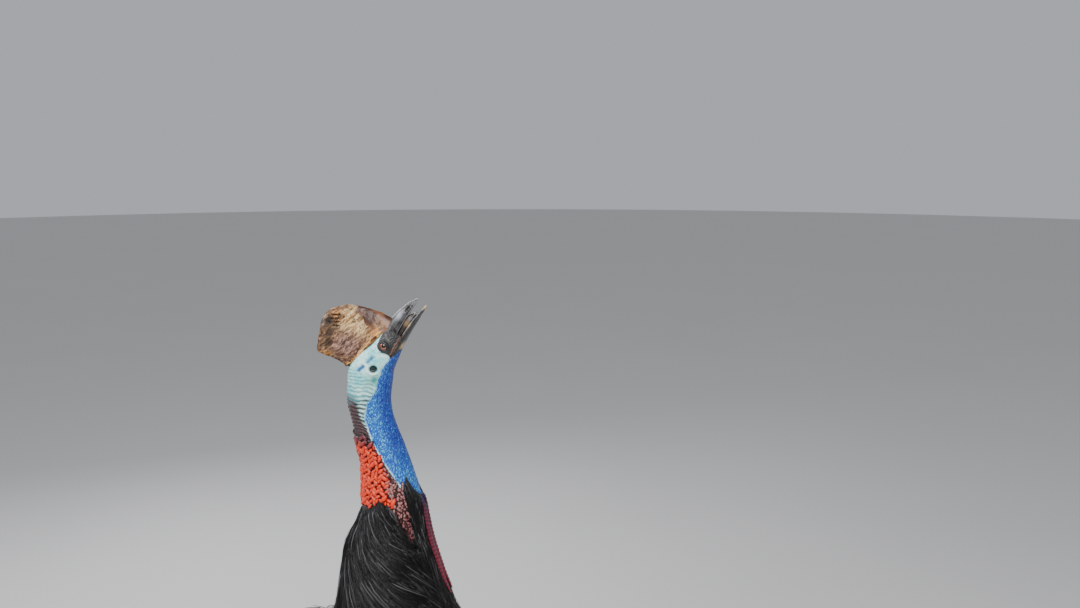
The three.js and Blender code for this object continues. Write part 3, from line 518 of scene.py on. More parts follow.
class Neck(Form):
    """The neck from the skull down into the breast: level ellipses that lie inside the feathers."""

    sizes = Stations("back front wide coat", [
        (860, -120, 110, 110, 30), (960, -142, 176, 150, 30), (1030, -132, 153, 132, 28),
        (1070, -118, 140, 118, 24), (1108, -110, 123, 105, 20), (1187, -92, 96, 82, 13),
        (1236, -64, 84, 65, 7), (1265, -52, 77, 57, 2), (1298, -48, 66, 51, 0), (1350, -48, 51, 43, 0),
        (1394, -57, 36, 38, 0), (1445, -68, 18, 35, 0), (1478, -75, 13, 34, 0), (1511, -74, 15, 35, 0),
        (1545, -66, 14, 32, 0),
    ])
    low, high = 860.0, 1545.0

    def middle(self, z: Array) -> Array:
        """The x of the rings' middles."""
        return (self.sizes("back", z) + self.sizes("front", z)) / 2

    def half_depth(self, z: Array) -> Array:
        """Half of the flesh's depth from front to back."""
        return (self.sizes("front", z) - self.sizes("back", z)) / 2 - self.sizes("coat", z)

    def half_width(self, z: Array) -> Array:
        """Half of the flesh's width."""
        return self.sizes("wide", z) - self.sizes("coat", z)

    def at(self, z: Array, angle: Array) -> Array:
        """Points of the flesh's surface. Angle 0 is the throat and half a turn the nape.

        Args:
            z: Heights.
            angle: Angles round the neck.

        Returns:
            Points.
        """
        z, angle = np.broadcast_arrays(np.asarray(z, float), angle)
        x = self.middle(z) + self.half_depth(z) * np.cos(angle)
        return np.stack([x, self.half_width(z) * np.sin(angle), z], axis=-1)

    def distance(self, points: Array) -> Array:
        """An ellipse's share, hypot(x / depth, y / width), turned into a distance along the ray.

        Args:
            points: Points.

        Returns:
            Distances, negative inside.
        """
        x, y, z = np.moveaxis(points, -1, 0)
        x = x - self.middle(z)
        share = np.hypot(x / self.half_depth(z), y / self.half_width(z))
        return held(held(off_ring(share, x, y), z - self.high, 8), self.low - z, 30)


class Body(Form):
    """The trunk: half ellipses over and under an axis that rises to the breast, inside the coat."""

    coat = 28.0
    sizes = Stations("over under wide", [
        (-410, 34, 60, 56), (-370, 112, 150, 130), (-280, 176, 222, 188), (-140, 220, 268, 218),
        (0, 212, 268, 224), (140, 184, 236, 212), (260, 156, 184, 178), (345, 116, 116, 120),
        (382, 48, 52, 54),
    ])
    back, front = -416.0, 388.0

    def at(self, along: Array, angle: Array) -> Array:
        """Points of the flesh's surface. Angle 0 is the back and half a turn the belly.

        Args:
            along: Places along the axis.
            angle: Angles round it.

        Returns:
            Points.
        """
        high = np.where(np.cos(angle) > 0, self.sizes("over", along), self.sizes("under", along)) - self.coat
        wide = self.sizes("wide", along) - self.coat
        return body_point(along, high * np.cos(angle), wide * np.sin(angle))

    def place(self, points: Array) -> tuple[Array, Array]:
        """Each point's distance along the trunk and up from its axis."""
        from_centre = points - BODY_CENTRE
        return from_centre @ BODY_FORWARD, from_centre @ BODY_UP

    def distance(self, points: Array) -> Array:
        """A ring's share, hypot(up / height, y / width), turned into a distance along the ray.

        Args:
            points: Points.

        Returns:
            Distances, negative inside.
        """
        along, up = self.place(points)
        y = points[..., 1]
        lean = smooth(up, -12, 12)
        high = self.sizes("over", along) * lean + self.sizes("under", along) * (1 - lean) - self.coat
        share = np.hypot(up / high, y / (self.sizes("wide", along) - self.coat))
        return held(held(off_ring(share, up, y), along - self.front, 30), self.back - along, 20)


class Rump(Form):
    """The lobe that hangs behind the trunk: balls strung on a curve."""

    sizes = Stations(
        "x z over wide",
        [(0, -430, 725, 92, 104), (1, -486, 668, 92, 102), (2, -524, 600, 76, 88), (3, -543, 532, 44, 56)],
    )

    def __init__(self) -> None:
        """Lays 28 balls along the curve."""
        at = np.linspace(0, 3, 28)
        self.x, self.z = self.sizes("x", at), self.sizes("z", at)
        self.size = self.sizes("over", at)
        self.flat = self.sizes("over", at) / self.sizes("wide", at)

    def distance(self, points: Array) -> Array:
        """The smallest distance to any ball, with y pressed so that the balls are wider than deep.

        Args:
            points: Points.

        Returns:
            Distances, negative inside.
        """
        x, y, z = (points[..., i, None] for i in range(3))
        away = np.sqrt((x - self.x) ** 2 + (y * self.flat) ** 2 + (z - self.z) ** 2)
        return np.min(away - self.size, axis=-1)


@dataclass(frozen=True)
class Leg:
    """The three points that a leg bends at.

    Attributes:
        side: Which leg.
    """

    side: Side

    @property
    def stride(self) -> float:
        """How far this foot is set ahead of the stance's middle."""
        return -34.0 * self.side.value

    @property
    def knee(self) -> Array:
        """The knee, hidden in the flank."""
        return np.array([-98 + 0.5 * self.stride, 118 * self.side.value, 655])

    @property
    def hock(self) -> Array:
        """The hock, at the foot of the feathers."""
        return np.array([-258 + 0.8 * self.stride, 110 * self.side.value, 392])

    @property
    def sole(self) -> Array:
        """The middle of the foot's pad."""
        return np.array([-212 + self.stride, 108 * self.side.value, 34])


class Thigh(Form):
    """The feathered leg from the knee back down to the hock."""

    sizes = Stations("deep wide", [
        (-0.26, 38, 28), (-0.14, 74, 50), (0, 92, 62), (0.25, 84, 58), (0.5, 66, 50), (0.75, 44, 39),
        (0.96, 29, 29),
    ])
    low, high = -0.3, 0.98

    def __init__(self, side: Side) -> None:
        """Sets the limb's line and the direction across it.

        Args:
            side: Which leg.
        """
        leg = Leg(side)
        self.knee, self.reach = leg.knee, float(np.linalg.norm(leg.hock - leg.knee))
        self.ahead = (leg.hock - leg.knee) / self.reach
        self.over = unit(np.cross(self.ahead, LEFTWARD))

    def at(self, share: Array, angle: Array) -> Array:
        """Points of the flesh's surface at shares of the way down, round the limb.

        Args:
            share: Shares of the way down.
            angle: Angles round the limb.

        Returns:
            Points.
        """
        share, angle = np.broadcast_arrays(np.asarray(share, float), angle)
        middle = self.knee + share[..., None] * self.reach * self.ahead
        deep = self.sizes("deep", share) * np.cos(angle)
        wide = self.sizes("wide", share) * np.sin(angle)
        return middle + deep[..., None] * self.over + wide[..., None] * LEFTWARD

    def distance(self, points: Array) -> Array:
        """An ellipse's share across the limb, turned into a distance along the ray.

        Args:
            points: Points.

        Returns:
            Distances, negative inside.
        """
        from_knee = points - self.knee
        share = from_knee @ self.ahead / self.reach
        deep, wide = from_knee @ self.over, from_knee[..., 1] - (from_knee @ self.ahead) * self.ahead[1]
        ring = np.hypot(deep / self.sizes("deep", share), wide / self.sizes("wide", share))
        off = held(off_ring(ring, deep, wide), (share - self.high) * self.reach, 8)
        return held(off, (self.low - share) * self.reach, 20)

    def shell(self) -> Shell:
        """The limb as a closed tube whose root lies in the flank."""
        share, angle = lattice(np.linspace(-0.26, 0.97, 40), 48)
        return tube(self.at(share, angle))


class Trunk(Form):
    """Skull, neck, body and rump as one form, filled where they meet."""

    def __init__(self) -> None:
        """Makes the four forms."""
        self.skull, self.neck, self.body, self.rump = Skull(), Neck(), Body(), Rump()

    def distance(self, points: Array) -> Array:
        """The smooth union of the four distances.

        Args:
            points: Points.

        Returns:
            Distances, negative inside.
        """
        upper = blended(self.skull.distance(points), self.neck.distance(points), 8)
        lower = blended(self.body.distance(points), self.rump.distance(points), 30)
        return blended(upper, lower, 24)


class WholeFlesh(Form):
    """The trunk with both thighs, which the feathers lie over."""

    def __init__(self, trunk: Trunk) -> None:
        """Keeps the trunk and makes the thighs."""
        self.parts = [trunk, Thigh(Side.LEFT), Thigh(Side.RIGHT)]

    def distance(self, points: Array) -> Array:
        """The smooth union of the three distances.

        Args:
            points: Points.

        Returns:
            Distances, negative inside.
        """
        trunk, left, right = (part.distance(points) for part in self.parts)
        return blended(blended(trunk, left, 16), right, 16)


# Node trees


Value = float | tuple[float, ...] | Socket
Given = dict[str | int, Value]


class Graph:
    """Adds nodes to a tree in few words."""

    def __init__(self, tree: bpy.types.NodeTree) -> None:
        """Keeps the tree."""
        self.tree = tree

    def feed(self, socket: Socket, value: Value) -> None:
        """Gives an input a number or a colour, or links another node's output to it.

        Args:
            socket: The input.
            value: What it gets.
        """
        if isinstance(value, Socket):
            self.tree.links.new(value, socket)
        else:
            is_colour = isinstance(value, tuple) and socket.type == "RGBA"
            socket.default_value = (*value, 1.0) if is_colour else value

    def add(self, kind: str, given: Given | None = None, **settings: object) -> bpy.types.Node:
        """Adds a node.

        Args:
            kind: The node's type without its ShaderNode prefix.
            given: What its inputs get: a number, a colour, or another node's output.
            **settings: The node's own properties.

        Returns:
            The new node.
        """
        made = self.tree.nodes.new("ShaderNode" + kind)
        for name, setting in settings.items():
            setattr(made, name, setting)
        for name, value in (given or {}).items():
            self.feed(made.inputs[name], value)
        return made

    def effect(self, group: bpy.types.NodeTree, given: Given) -> bpy.types.Node:
        """Places a shared effect with its own values."""
        return self.add("Group", given, node_tree=group)

    def value(self, name: str) -> Socket:
        """The number that the mesh keeps at its points under that name."""
        return self.add("Attribute", attribute_name=name).outputs["Fac"]

    def place(self, stretch: Triple = (1, 1, 1), turn: float = 0.0) -> Socket:
        """The object's own coordinates, turned about y and then scaled along each axis.

        Args:
            stretch: The scale along each axis.
            turn: The turn about y.

        Returns:
            The place, for a pattern to read.
        """
        spot = self.add("TexCoord").outputs["Object"]
        turned = self.add("Mapping", {"Vector": spot, "Rotation": (0, turn, 0)}).outputs["Vector"]
        return self.add("Mapping", {"Vector": turned, "Scale": stretch}).outputs["Vector"]

    def noise(self, place: Socket, scale: float, detail: float, rough: float = 0.55) -> Socket:
        """Soft noise from 0 to 1."""
        given = {"Vector": place, "Scale": scale, "Detail": detail, "Roughness": rough}
        return self.add("TexNoise", given).outputs["Fac"]

    def cells(self, place: Socket, scale: float, feature: str = "F1") -> bpy.types.Node:
        """A pattern of cells."""
        return self.add("TexVoronoi", {"Vector": place, "Scale": scale}, feature=feature)

    def math(self, operation: str, first: Value, second: Value = 0.0) -> Socket:
        """One step of arithmetic."""
        return self.add("Math", {0: first, 1: second}, operation=operation).outputs[0]

    def times(self, first: Value, second: Value) -> Socket:
        """The product of two values."""
        return self.math("MULTIPLY", first, second)

    def plus(self, first: Value, second: Value) -> Socket:
        """The sum of two values."""
        return self.math("ADD", first, second)

    def swing(self, value: Socket, size: Value) -> Socket:
        """A value that runs from 0 to 1 as one about 0 that runs over the given size."""
        return self.times(self.math("SUBTRACT", value, 0.5), size)

    def ramp(self, value: Value, low: float, high: float, to_low: float = 0, to_high: float = 1) -> Socket:
        """A smooth step between two values of the input.

        Args:
            value: What drives it.
            low: Where it begins.
            high: Where it ends.
            to_low: What it gives up to low.
            to_high: What it gives from high on.

        Returns:
            The stepped value.
        """
        given = {"Value": value, "From Min": low, "From Max": high, "To Min": to_low, "To Max": to_high}
        made = self.add("MapRange", given, interpolation_type="SMOOTHSTEP", clamp=True)
        return made.outputs["Result"]

    def mix(self, share: Value, first: Value, second: Value, blend: str = "MIX") -> Socket:
        """Two colours mixed by a share from 0 to 1.

        Args:
            share: The second colour's share.
            first: The first colour.
            second: The second.
            blend: How they are mixed.

        Returns:
            The mixed colour.
        """
        made = self.add("Mix", data_type="RGBA", blend_type=blend, clamp_factor=True)
        for index, value in ((0, share), (6, first), (7, second)):
            self.feed(made.inputs[index], value)
        return made.outputs[2]

    def tone(self, value: Value, low: float, high: float, first: Value, second: Value) -> Socket:
        """A colour that turns from the first to the second as the value rises from low to high."""
        return self.mix(self.ramp(value, low, high), first, second)

    def lay(self, colour: Value, name: str, tint: Value, weight: float = 1.0) -> Socket:
        """Lays a tint over a colour by the share that the mesh keeps under that name."""
        share = self.value(name)
        return self.mix(share if weight == 1 else self.times(share, weight), colour, tint)

    def bands(self, value: Socket, stops: list[tuple[float, Triple]]) -> Socket:
        """A colour that runs through given stops as the value rises.

        Args:
            value: What drives it.
            stops: Places from 0 to 1, each with its colour.

        Returns:
            The colour.
        """
        made = self.add("ValToRGB", {"Fac": value})
        elements = made.color_ramp.elements
        while len(elements) < len(stops):
            elements.new(0.5)
        for element, (place, colour) in zip(elements, stops):
            element.position = place
            element.color = (*colour, 1.0)
        return made.outputs["Color"]


class Effects:
    """Shared effects, each a node group that is built once."""

    @staticmethod
    def group(name: str, inputs: dict[str, float], outputs: tuple[str, ...]) -> tuple[Graph, dict, dict]:
        """Starts a node group with named sockets for numbers.

        Args:
            name: The group's name.
            inputs: The inputs' defaults.
            outputs: The outputs' names.

        Returns:
            A graph on the group's tree, its inputs' sockets and those that its outputs are linked to.
        """
        tree = bpy.data.node_groups.new(name, "ShaderNodeTree")
        for label, default in inputs.items():
            socket = tree.interface.new_socket(name=label, in_out="INPUT", socket_type="NodeSocketFloat")
            socket.default_value = default
        for label in outputs:
            tree.interface.new_socket(name=label, in_out="OUTPUT", socket_type="NodeSocketFloat")
        return Graph(tree), tree.nodes.new("NodeGroupInput").outputs, tree.nodes.new("NodeGroupOutput").inputs

    @staticmethod
    def mottle() -> bpy.types.NodeTree:
        """Uneven tone: two sizes of noise as one value about 0.5, and a fine grain for the height.

        Returns:
            The group, with outputs Tone and Grain.
        """
        sockets = {"Coarse": 40.0, "Fine": 300.0, "Spread": 0.5}
        graph, inside, outside = Effects.group("mottle", sockets, ("Tone", "Grain"))
        place = graph.place()
        coarse = graph.noise(place, inside["Coarse"], 2.0, 0.5)
        fine = graph.noise(place, inside["Fine"], 3.0, 0.5)
        both = graph.plus(graph.times(coarse, 0.6), graph.times(fine, 0.4))
        graph.feed(outside["Tone"], graph.plus(graph.swing(both, inside["Spread"]), 0.5))
        graph.feed(outside["Grain"], fine)
        return graph.tree

    @staticmethod
    def beads() -> bpy.types.NodeTree:
        """Skin beads drawn out along the neck: 1 on a bead's crown and 0 in the seams round it.

        Returns:
            The group, with outputs Crown and Tint.
        """
        sockets = {"Size": 300.0, "Stretch": 0.45}
        graph, inside, outside = Effects.group("skin_beads", sockets, ("Crown", "Tint"))
        spot = graph.add("TexCoord").outputs["Object"]
        scale = graph.add("CombineXYZ", {"X": 1.0, "Y": 1.0, "Z": inside["Stretch"]}).outputs["Vector"]
        place = graph.add("Mapping", {"Vector": spot, "Scale": scale}).outputs["Vector"]
        warp = graph.add("TexNoise", {"Vector": place, "Scale": 60.0, "Detail": 1.0}).outputs["Color"]
        bent = graph.add("VectorMath", {0: warp, 3: 0.012}, operation="SCALE").outputs[0]
        place = graph.add("VectorMath", {0: place, 1: bent}, operation="ADD").outputs[0]
        cells = graph.cells(place, inside["Size"]).outputs
        graph.feed(outside["Crown"], graph.ramp(cells["Distance"], 0.15, 0.75, 1.0, 0.0))
        graph.feed(outside["Tint"], graph.add("SeparateColor", {"Color": cells["Color"]}).outputs[0])
        return graph.tree


@dataclass(frozen=True)
class Gloss:
    """The numbers of a surface's shine, set on the shader itself.

    Attributes:
        specular: Strength of the plain shine.
        coat: Weight of the clear layer.
        coat_rough: Its roughness.
        subsurface: Weight of the light that passes through skin.
    """

    specular: float = 0.5
    coat: float = 0.0
    coat_rough: float = 0.2
    subsurface: float = 0.0


class Finish:
    """A material with its shader, to be filled by a subclass."""

    name = "finish"
    gloss = Gloss()

    def __init__(self) -> None:
        """Makes the material and wires the colour, roughness and height that the subclass works out."""
        self.material = bpy.data.materials.new(self.name)
        self.material.use_nodes = True
        self.graph = Graph(self.material.node_tree)
        colour, rough, height, depth = self.pattern()
        bump = self.graph.add("Bump", {"Height": height, "Strength": 1.0, "Distance": depth})
        given = {
            "Specular IOR Level": self.gloss.specular,
            "Coat Weight": self.gloss.coat,
            "Coat Roughness": self.gloss.coat_rough,
            "Subsurface Weight": self.gloss.subsurface,
            "Subsurface Radius": (0.006, 0.003, 0.002),
            "Base Color": colour,
            "Roughness": rough,
            "Normal": bump.outputs["Normal"],
        }
        for name, value in given.items():
            self.graph.feed(self.graph.tree.nodes["Principled BSDF"].inputs[name], value)

    def pattern(self) -> Surface:
        """The colour, the roughness, the height and how deep the height is, in metres.

        Returns:
            The four, for the shader and its bump.
        """
        raise NotImplementedError


MOTTLE, BEADS = Effects.mottle(), Effects.beads()


class BareSkin(Finish):
    """The bare head and neck: pale turquoise, azure, cobalt, black and red, and dull black under feathers."""

    name = "bare_skin"
    gloss = Gloss(specular=0.5, coat=0.25, coat_rough=0.25, subsurface=0.06)

    def pattern(self) -> Surface:
        """Colours laid over one another by the edges that the skin's mesh keeps, in millimetres.

        Returns:
            The colour, the roughness, the height and its depth.
        """
        graph = self.graph
        place = graph.place()
        ragged = graph.swing(graph.noise(place, 90, 4), 9.0)
        wobble = graph.swing(graph.noise(place, 45, 2), 14.0)
        beads = graph.effect(BEADS, {"Size": 430.0, "Stretch": 0.6})
        crown, tint = beads.outputs["Crown"], beads.outputs["Tint"]
        tone = graph.effect(MOTTLE, {"Coarse": 30.0, "Fine": 160.0, "Spread": 1.6}).outputs["Tone"]
        crest = graph.value("crest")

        pale = graph.tone(tone, 0.3, 0.7, (0.17, 0.62, 0.64), (0.62, 0.93, 0.88))
        flecks = graph.ramp(graph.noise(place, 240, 2), 0.58, 0.7, 0.0, 0.6)
        pale = graph.mix(flecks, pale, (0.80, 0.97, 0.95))
        torn = graph.ramp(graph.noise(place, 120, 3), 0.36, 0.52, 0.55, 1.0)
        # The temple dashes: the skin's blue, made deeper in their furrow as painted shade.
        pale = graph.mix(graph.times(graph.value("streak"), torn), pale, (0.01, 0.11, 0.34))
        # Painted shade: the cheek under the ear is painted darker.
        pale = graph.lay(pale, "green", (0.02, 0.26, 0.21), 0.85)
        # Painted shade: the furrows between the nape folds are darker than the crests, near black where the
        # nape's skin is dark.
        shaded_grooves = graph.mix(graph.value("nape_dark"), (0.03, 0.24, 0.28), (0.006, 0.004, 0.008))
        crests = graph.lay(pale, "nape_low", (0.085, 0.030, 0.032))
        nape = graph.mix(crest, shaded_grooves, crests)
        nape = graph.lay(pale, "nape", nape)
        # Painted shade: the skin under the red lumps is near-black red, for the gaps between them.
        gap_shade = graph.tone(graph.noise(place, 160, 2), 0.4, 0.6, (0.012, 0.003, 0.003), (0.07, 0.007, 0.005))
        nape = graph.lay(nape, "red", gap_shade)

        # Painted highlight and shade: each bead's crown is lighter and its seam darker, and the palest cyan
        # speckles on the crowns are painted sheen.
        bright = graph.mix(crown, (0.0, 0.05, 0.36), (0.006, 0.26, 0.80))
        bright = graph.mix(graph.times(graph.ramp(tint, 0.5, 0.9), crown), bright, (0.16, 0.66, 0.95))
        deep = graph.mix(crown, (0.0, 0.018, 0.22), (0.002, 0.085, 0.56))
        deep = graph.mix(graph.times(graph.ramp(tint, 0.8, 0.95), crown), deep, (0.04, 0.34, 0.85))
        blue = graph.lay(bright, "throat", deep)
        edge = graph.plus(graph.value("blue_edge"), ragged)
        colour = graph.tone(edge, -3.5, 2.0, nape, blue)
        line = graph.times(graph.value("pale_line"), graph.ramp(graph.math("ABSOLUTE", edge), 2.0, 0.4))
        colour = graph.mix(graph.times(line, graph.ramp(tone, 0.35, 0.6)), colour, (0.55, 0.86, 0.95))

        soot = graph.tone(tone, 0.35, 0.7, (0.004, 0.004, 0.005), (0.022, 0.022, 0.024))
        black_edge = graph.plus(graph.value("black_edge"), graph.times(ragged, 0.5))
        colour = graph.tone(black_edge, -1.5, 1.5, colour, soot)
        colour = graph.lay(colour, "lip", (0.22, 0.095, 0.068), 0.85)
        colour = graph.lay(colour, "lip_pale", (0.72, 0.58, 0.27), 0.9)
        colour = graph.lay(colour, "ear_rim", (0.78, 0.95, 0.96))
        # Painted shade: the ear's opening is near black with a little blue-green.
        ear_hole_shade = graph.tone(graph.noise(place, 130, 2), 0.4, 0.65, (0.002, 0.004, 0.004), (0.003, 0.024, 0.026))
        colour = graph.lay(colour, "ear", ear_hole_shade)
        under = graph.ramp(graph.plus(graph.value("under_edge"), wobble), -2.0, 3.0)
        colour = graph.mix(under, colour, (0.006, 0.006, 0.007))

        dull = graph.ramp(crown, 0.0, 1.0, 0.62, 0.33)
        beaded = graph.times(crown, graph.ramp(edge, -6.0, 4.0, 0.35, 1.0))
        return colour, dull, beaded, 0.0011


class CasqueHorn(Finish):
    """Worn horn: smooth brown at the front, flaked tan and pinkish grey behind, with a golden rim."""

    name = "casque_horn"
    gloss = Gloss(specular=0.35, coat=0.05, coat_rough=0.4)

    def pattern(self) -> Surface:
        """Layers of colour by how far the horn has flaked, with fibres and pits, darker along the steps,
        painted shade in the slots and a painted shadow band at the back.

        Returns:
            The colour, the roughness, the height and its depth.
        """
        graph = self.graph
        place = graph.place()
        fibre = graph.noise(graph.place((0.34, 1.0, 1.4), 0.62), 150, 5, 0.7)
        cloud = graph.noise(place, 38, 4)
        horn = graph.tone(cloud, 0.38, 0.66, (0.045, 0.014, 0.006), (0.19, 0.070, 0.026))
        sheen = graph.times(graph.ramp(fibre, 0.5, 0.75), 0.35)
        horn = graph.mix(sheen, horn, (0.26, 0.115, 0.065))
        fibres = [(0.36, (0.030, 0.012, 0.007)), (0.48, (0.135, 0.060, 0.028)), (0.58, (0.34, 0.18, 0.080))]
        flake = graph.bands(fibre, fibres + [(0.7, (0.66, 0.46, 0.25))])
        creams = [(0.34, (0.13, 0.048, 0.014)), (0.45, (0.52, 0.29, 0.10)), (0.58, (0.88, 0.66, 0.36))]
        flake = graph.lay(flake, "cream", graph.bands(fibre, creams))
        mauve = graph.tone(fibre, 0.38, 0.64, (0.075, 0.028, 0.022), (0.46, 0.27, 0.21))
        flake = graph.lay(flake, "mauve", mauve)
        colour = graph.tone(graph.value("layer"), 0.25, 0.7, horn, flake)
        # The shade row is a painted shadow band down the back of the blade; the other rows are the horn's own
        # colours.
        stains_and_shade = [
            ("orange", 0.35, 0.6, (0.20, 0.065, 0.012), (0.60, 0.26, 0.06), 0.85),
            ("grey", 0.4, 0.62, (0.05, 0.042, 0.038), (0.36, 0.31, 0.28), 0.8),
            ("shade", 0.42, 0.66, (0.016, 0.009, 0.005), (0.11, 0.060, 0.026), 0.9),
            ("rim", 0.42, 0.58, (0.10, 0.035, 0.008), (0.86, 0.47, 0.13), 1.0),
        ]
        for name, low, high, dark, pale, weight in stains_and_shade:
            colour = graph.lay(colour, name, graph.tone(fibre, low, high, dark, pale), weight)
        # Near black: the horn's spots and pits, darker steps, and painted shade in the slots.
        colour = graph.lay(colour, "dirt", (0.012, 0.006, 0.003))
        rough = graph.ramp(graph.value("layer"), 0.2, 0.7, 0.34, 0.62)
        height = graph.times(fibre, graph.ramp(graph.value("layer"), 0.1, 0.7, 0.2, 1.0))
        return colour, rough, height, 0.002


class BillHorn(Finish):
    """Near-black horn with grey painted highlights on a raised plate above, along the ridge and along the
    upper cutting edge, thin pale edges below and a few yellowish streaks.
    """

    name = "bill_horn"
    gloss = Gloss(specular=0.5, coat=0.35, coat_rough=0.22)

    def pattern(self) -> Surface:
        """Black horn streaked along the bill, with its pale places, the upper jaw's being painted highlights,
        its warm places, and the mouth painted near black as shade.

        Returns:
            The colour, the roughness, the height and its depth.
        """
        graph = self.graph
        streak = graph.noise(graph.place((0.5, 2.2, 2.0), -HEAD_RISE), 150, 4, 0.6)
        colour = graph.tone(streak, 0.38, 0.72, (0.006, 0.006, 0.007), (0.050, 0.045, 0.042))
        # The upper jaw's pale places are painted highlights; the lower jaw's are its own pale horn.
        pale = graph.times(graph.value("pale"), graph.ramp(streak, 0.25, 0.5, 0.55, 1.0))
        # Painted shade: the faces inside the mouth are near black.
        colour = graph.lay(colour, "mouth", (0.020, 0.012, 0.009))
        colour = graph.mix(pale, colour, (0.34, 0.34, 0.40))
        warm = graph.times(graph.value("warm"), graph.ramp(streak, 0.3, 0.55, 0.4, 1.0))
        colour = graph.mix(warm, colour, (0.62, 0.42, 0.20))
        rough = graph.ramp(streak, 0.3, 0.7, 0.28, 0.5)
        return colour, rough, streak, 0.0006


class EyeFinish(Finish):
    """A wet eye: black pupil, orange-brown iris with rays, and a dark rim."""

    name = "wet_eye"
    gloss = Gloss(specular=0.6, coat=1.0, coat_rough=0.02)

    def pattern(self) -> Surface:
        """Rings by the distance from the eye's axis, kept in the mesh in millimetres.

        Returns:
            The colour, the roughness, the height and its depth.
        """
        graph = self.graph
        radius = graph.math("DIVIDE", graph.value("off_axis"), 12.0)
        rays = graph.noise(graph.place(), 900, 2)
        stops = [
            (0.0, (0.002, 0.002, 0.002)), (0.27, (0.002, 0.002, 0.002)), (0.31, (0.09, 0.020, 0.006)),
            (0.44, (0.42, 0.10, 0.024)), (0.56, (0.26, 0.055, 0.014)), (0.63, (0.02, 0.006, 0.004)),
            (0.8, (0.006, 0.004, 0.004)),
        ]
        colour = graph.bands(graph.plus(radius, graph.swing(rays, 0.05)), stops)
        return colour, graph.ramp(radius, 0.3, 0.6, 0.08, 0.16), rays, 0.00005


class CaruncleSkin(Finish):
    """Warty red-orange skin whose lumps are bright on their crowns and painted dark towards the skin, as
    shade in the seams.
    """

    name = "caruncle_skin"
    gloss = Gloss(specular=0.35, coat=0.2, coat_rough=0.2, subsurface=0.08)

    def pattern(self) -> Surface:
        """Red by height over the skin, near black at each lump's foot as painted shade, and mauve or brown by
        the lump's own kind.

        Returns:
            The colour, the roughness, the height and its depth.
        """
        graph = self.graph
        grain = graph.noise(graph.place(), 420, 3)
        crown = graph.plus(graph.value("crown"), graph.swing(grain, 0.35))
        # Each band runs from painted shade at the lump's foot to its colour on the crown.
        reds = [(0.3, (0.02, 0.001, 0.001)), (0.6, (0.36, 0.009, 0.002)), (0.98, (0.84, 0.058, 0.010))]
        mauves = [(0.35, (0.006, 0.002, 0.002)), (0.68, (0.095, 0.022, 0.026)), (0.98, (0.40, 0.18, 0.165))]
        browns = [(0.25, (0.006, 0.002, 0.002)), (0.6, (0.045, 0.006, 0.010)), (0.97, (0.18, 0.035, 0.045))]
        colour = graph.lay(graph.bands(crown, reds), "mauve", graph.bands(crown, mauves))
        colour = graph.lay(colour, "brown", graph.bands(crown, browns))
        return colour, graph.ramp(grain, 0.3, 0.7, 0.3, 0.48), grain, 0.0006


class WattleSkin(Finish):
    """Soft crimson skin, blue and purple at the root."""

    name = "wattle_skin"
    gloss = Gloss(specular=0.5, coat=0.3, coat_rough=0.25, subsurface=0.1)

    def pattern(self) -> Surface:
        """Colour by the share of the way down, darkened in the folds' creases as painted shade.

        Returns:
            The colour, the roughness, the height and its depth.
        """
        graph = self.graph
        grain = graph.noise(graph.place(), 340, 3)
        down = graph.plus(graph.value("down"), graph.swing(grain, 0.1))
        stops = [(0.0, (0.003, 0.03, 0.28)), (0.05, (0.02, 0.008, 0.10)), (0.13, (0.09, 0.003, 0.03))]
        colour = graph.bands(down, stops + [(0.6, (0.19, 0.003, 0.026))])
        # Painted shade: the creases between the folds are darker.
        dark = graph.mix(1.0, colour, (0.25, 0.2, 0.25), "MULTIPLY")
        colour = graph.tone(graph.value("fold"), 0.0, 0.7, dark, colour)
        return colour, graph.ramp(grain, 0.3, 0.7, 0.3, 0.5), grain, 0.0006


class LegScale(Finish):
    """Grey-brown scales: broad scutes in front and small plates behind."""

    name = "leg_scale"
    gloss = Gloss(specular=0.4, coat=0.1, coat_rough=0.4)

    def pattern(self) -> Surface:
        """Small plates from a cell pattern where there are no scutes, dark in their seams.

        Returns:
            The colour, the roughness, the height and its depth.
        """
        graph = self.graph
        seams = graph.cells(graph.place(), 150, "DISTANCE_TO_EDGE").outputs["Distance"]
        plate = graph.math("MAXIMUM", graph.ramp(seams, 0.02, 0.16), graph.value("scute"))
        tone = graph.effect(MOTTLE, {"Coarse": 25.0, "Fine": 260.0, "Spread": 1.5}).outputs["Tone"]
        colour = graph.tone(tone, 0.3, 0.75, (0.06, 0.05, 0.035), (0.24, 0.21, 0.15))
        seam = graph.mix(1.0, colour, (0.2, 0.18, 0.16), "MULTIPLY")
        colour = graph.mix(plate, seam, colour)
        colour = graph.lay(colour, "groove", (0.02, 0.016, 0.012))
        height = graph.plus(graph.times(plate, 0.6), graph.times(tone, 0.4))
        return colour, graph.ramp(tone, 0.3, 0.7, 0.42, 0.62), height, 0.0012


class ClawHorn(Finish):
    """Dark polished horn, worn paler to the tip."""

    name = "claw_horn"
    gloss = Gloss(specular=0.5, coat=0.3, coat_rough=0.2)

    def pattern(self) -> Surface:
        """Fine streaks along the claw, with the tip tinted.

        Returns:
            The colour, the roughness, the height and its depth.
        """
        graph = self.graph
        streak = graph.noise(graph.place((0.35, 2.0, 2.0)), 130, 4, 0.6)
        colour = graph.tone(streak, 0.35, 0.7, (0.010, 0.008, 0.007), (0.05, 0.038, 0.03))
        worn = graph.times(graph.value("tip"), graph.ramp(streak, 0.3, 0.6))
        colour = graph.mix(worn, colour, (0.14, 0.11, 0.085))
        return colour, graph.ramp(streak, 0.3, 0.7, 0.26, 0.45), streak, 0.0006


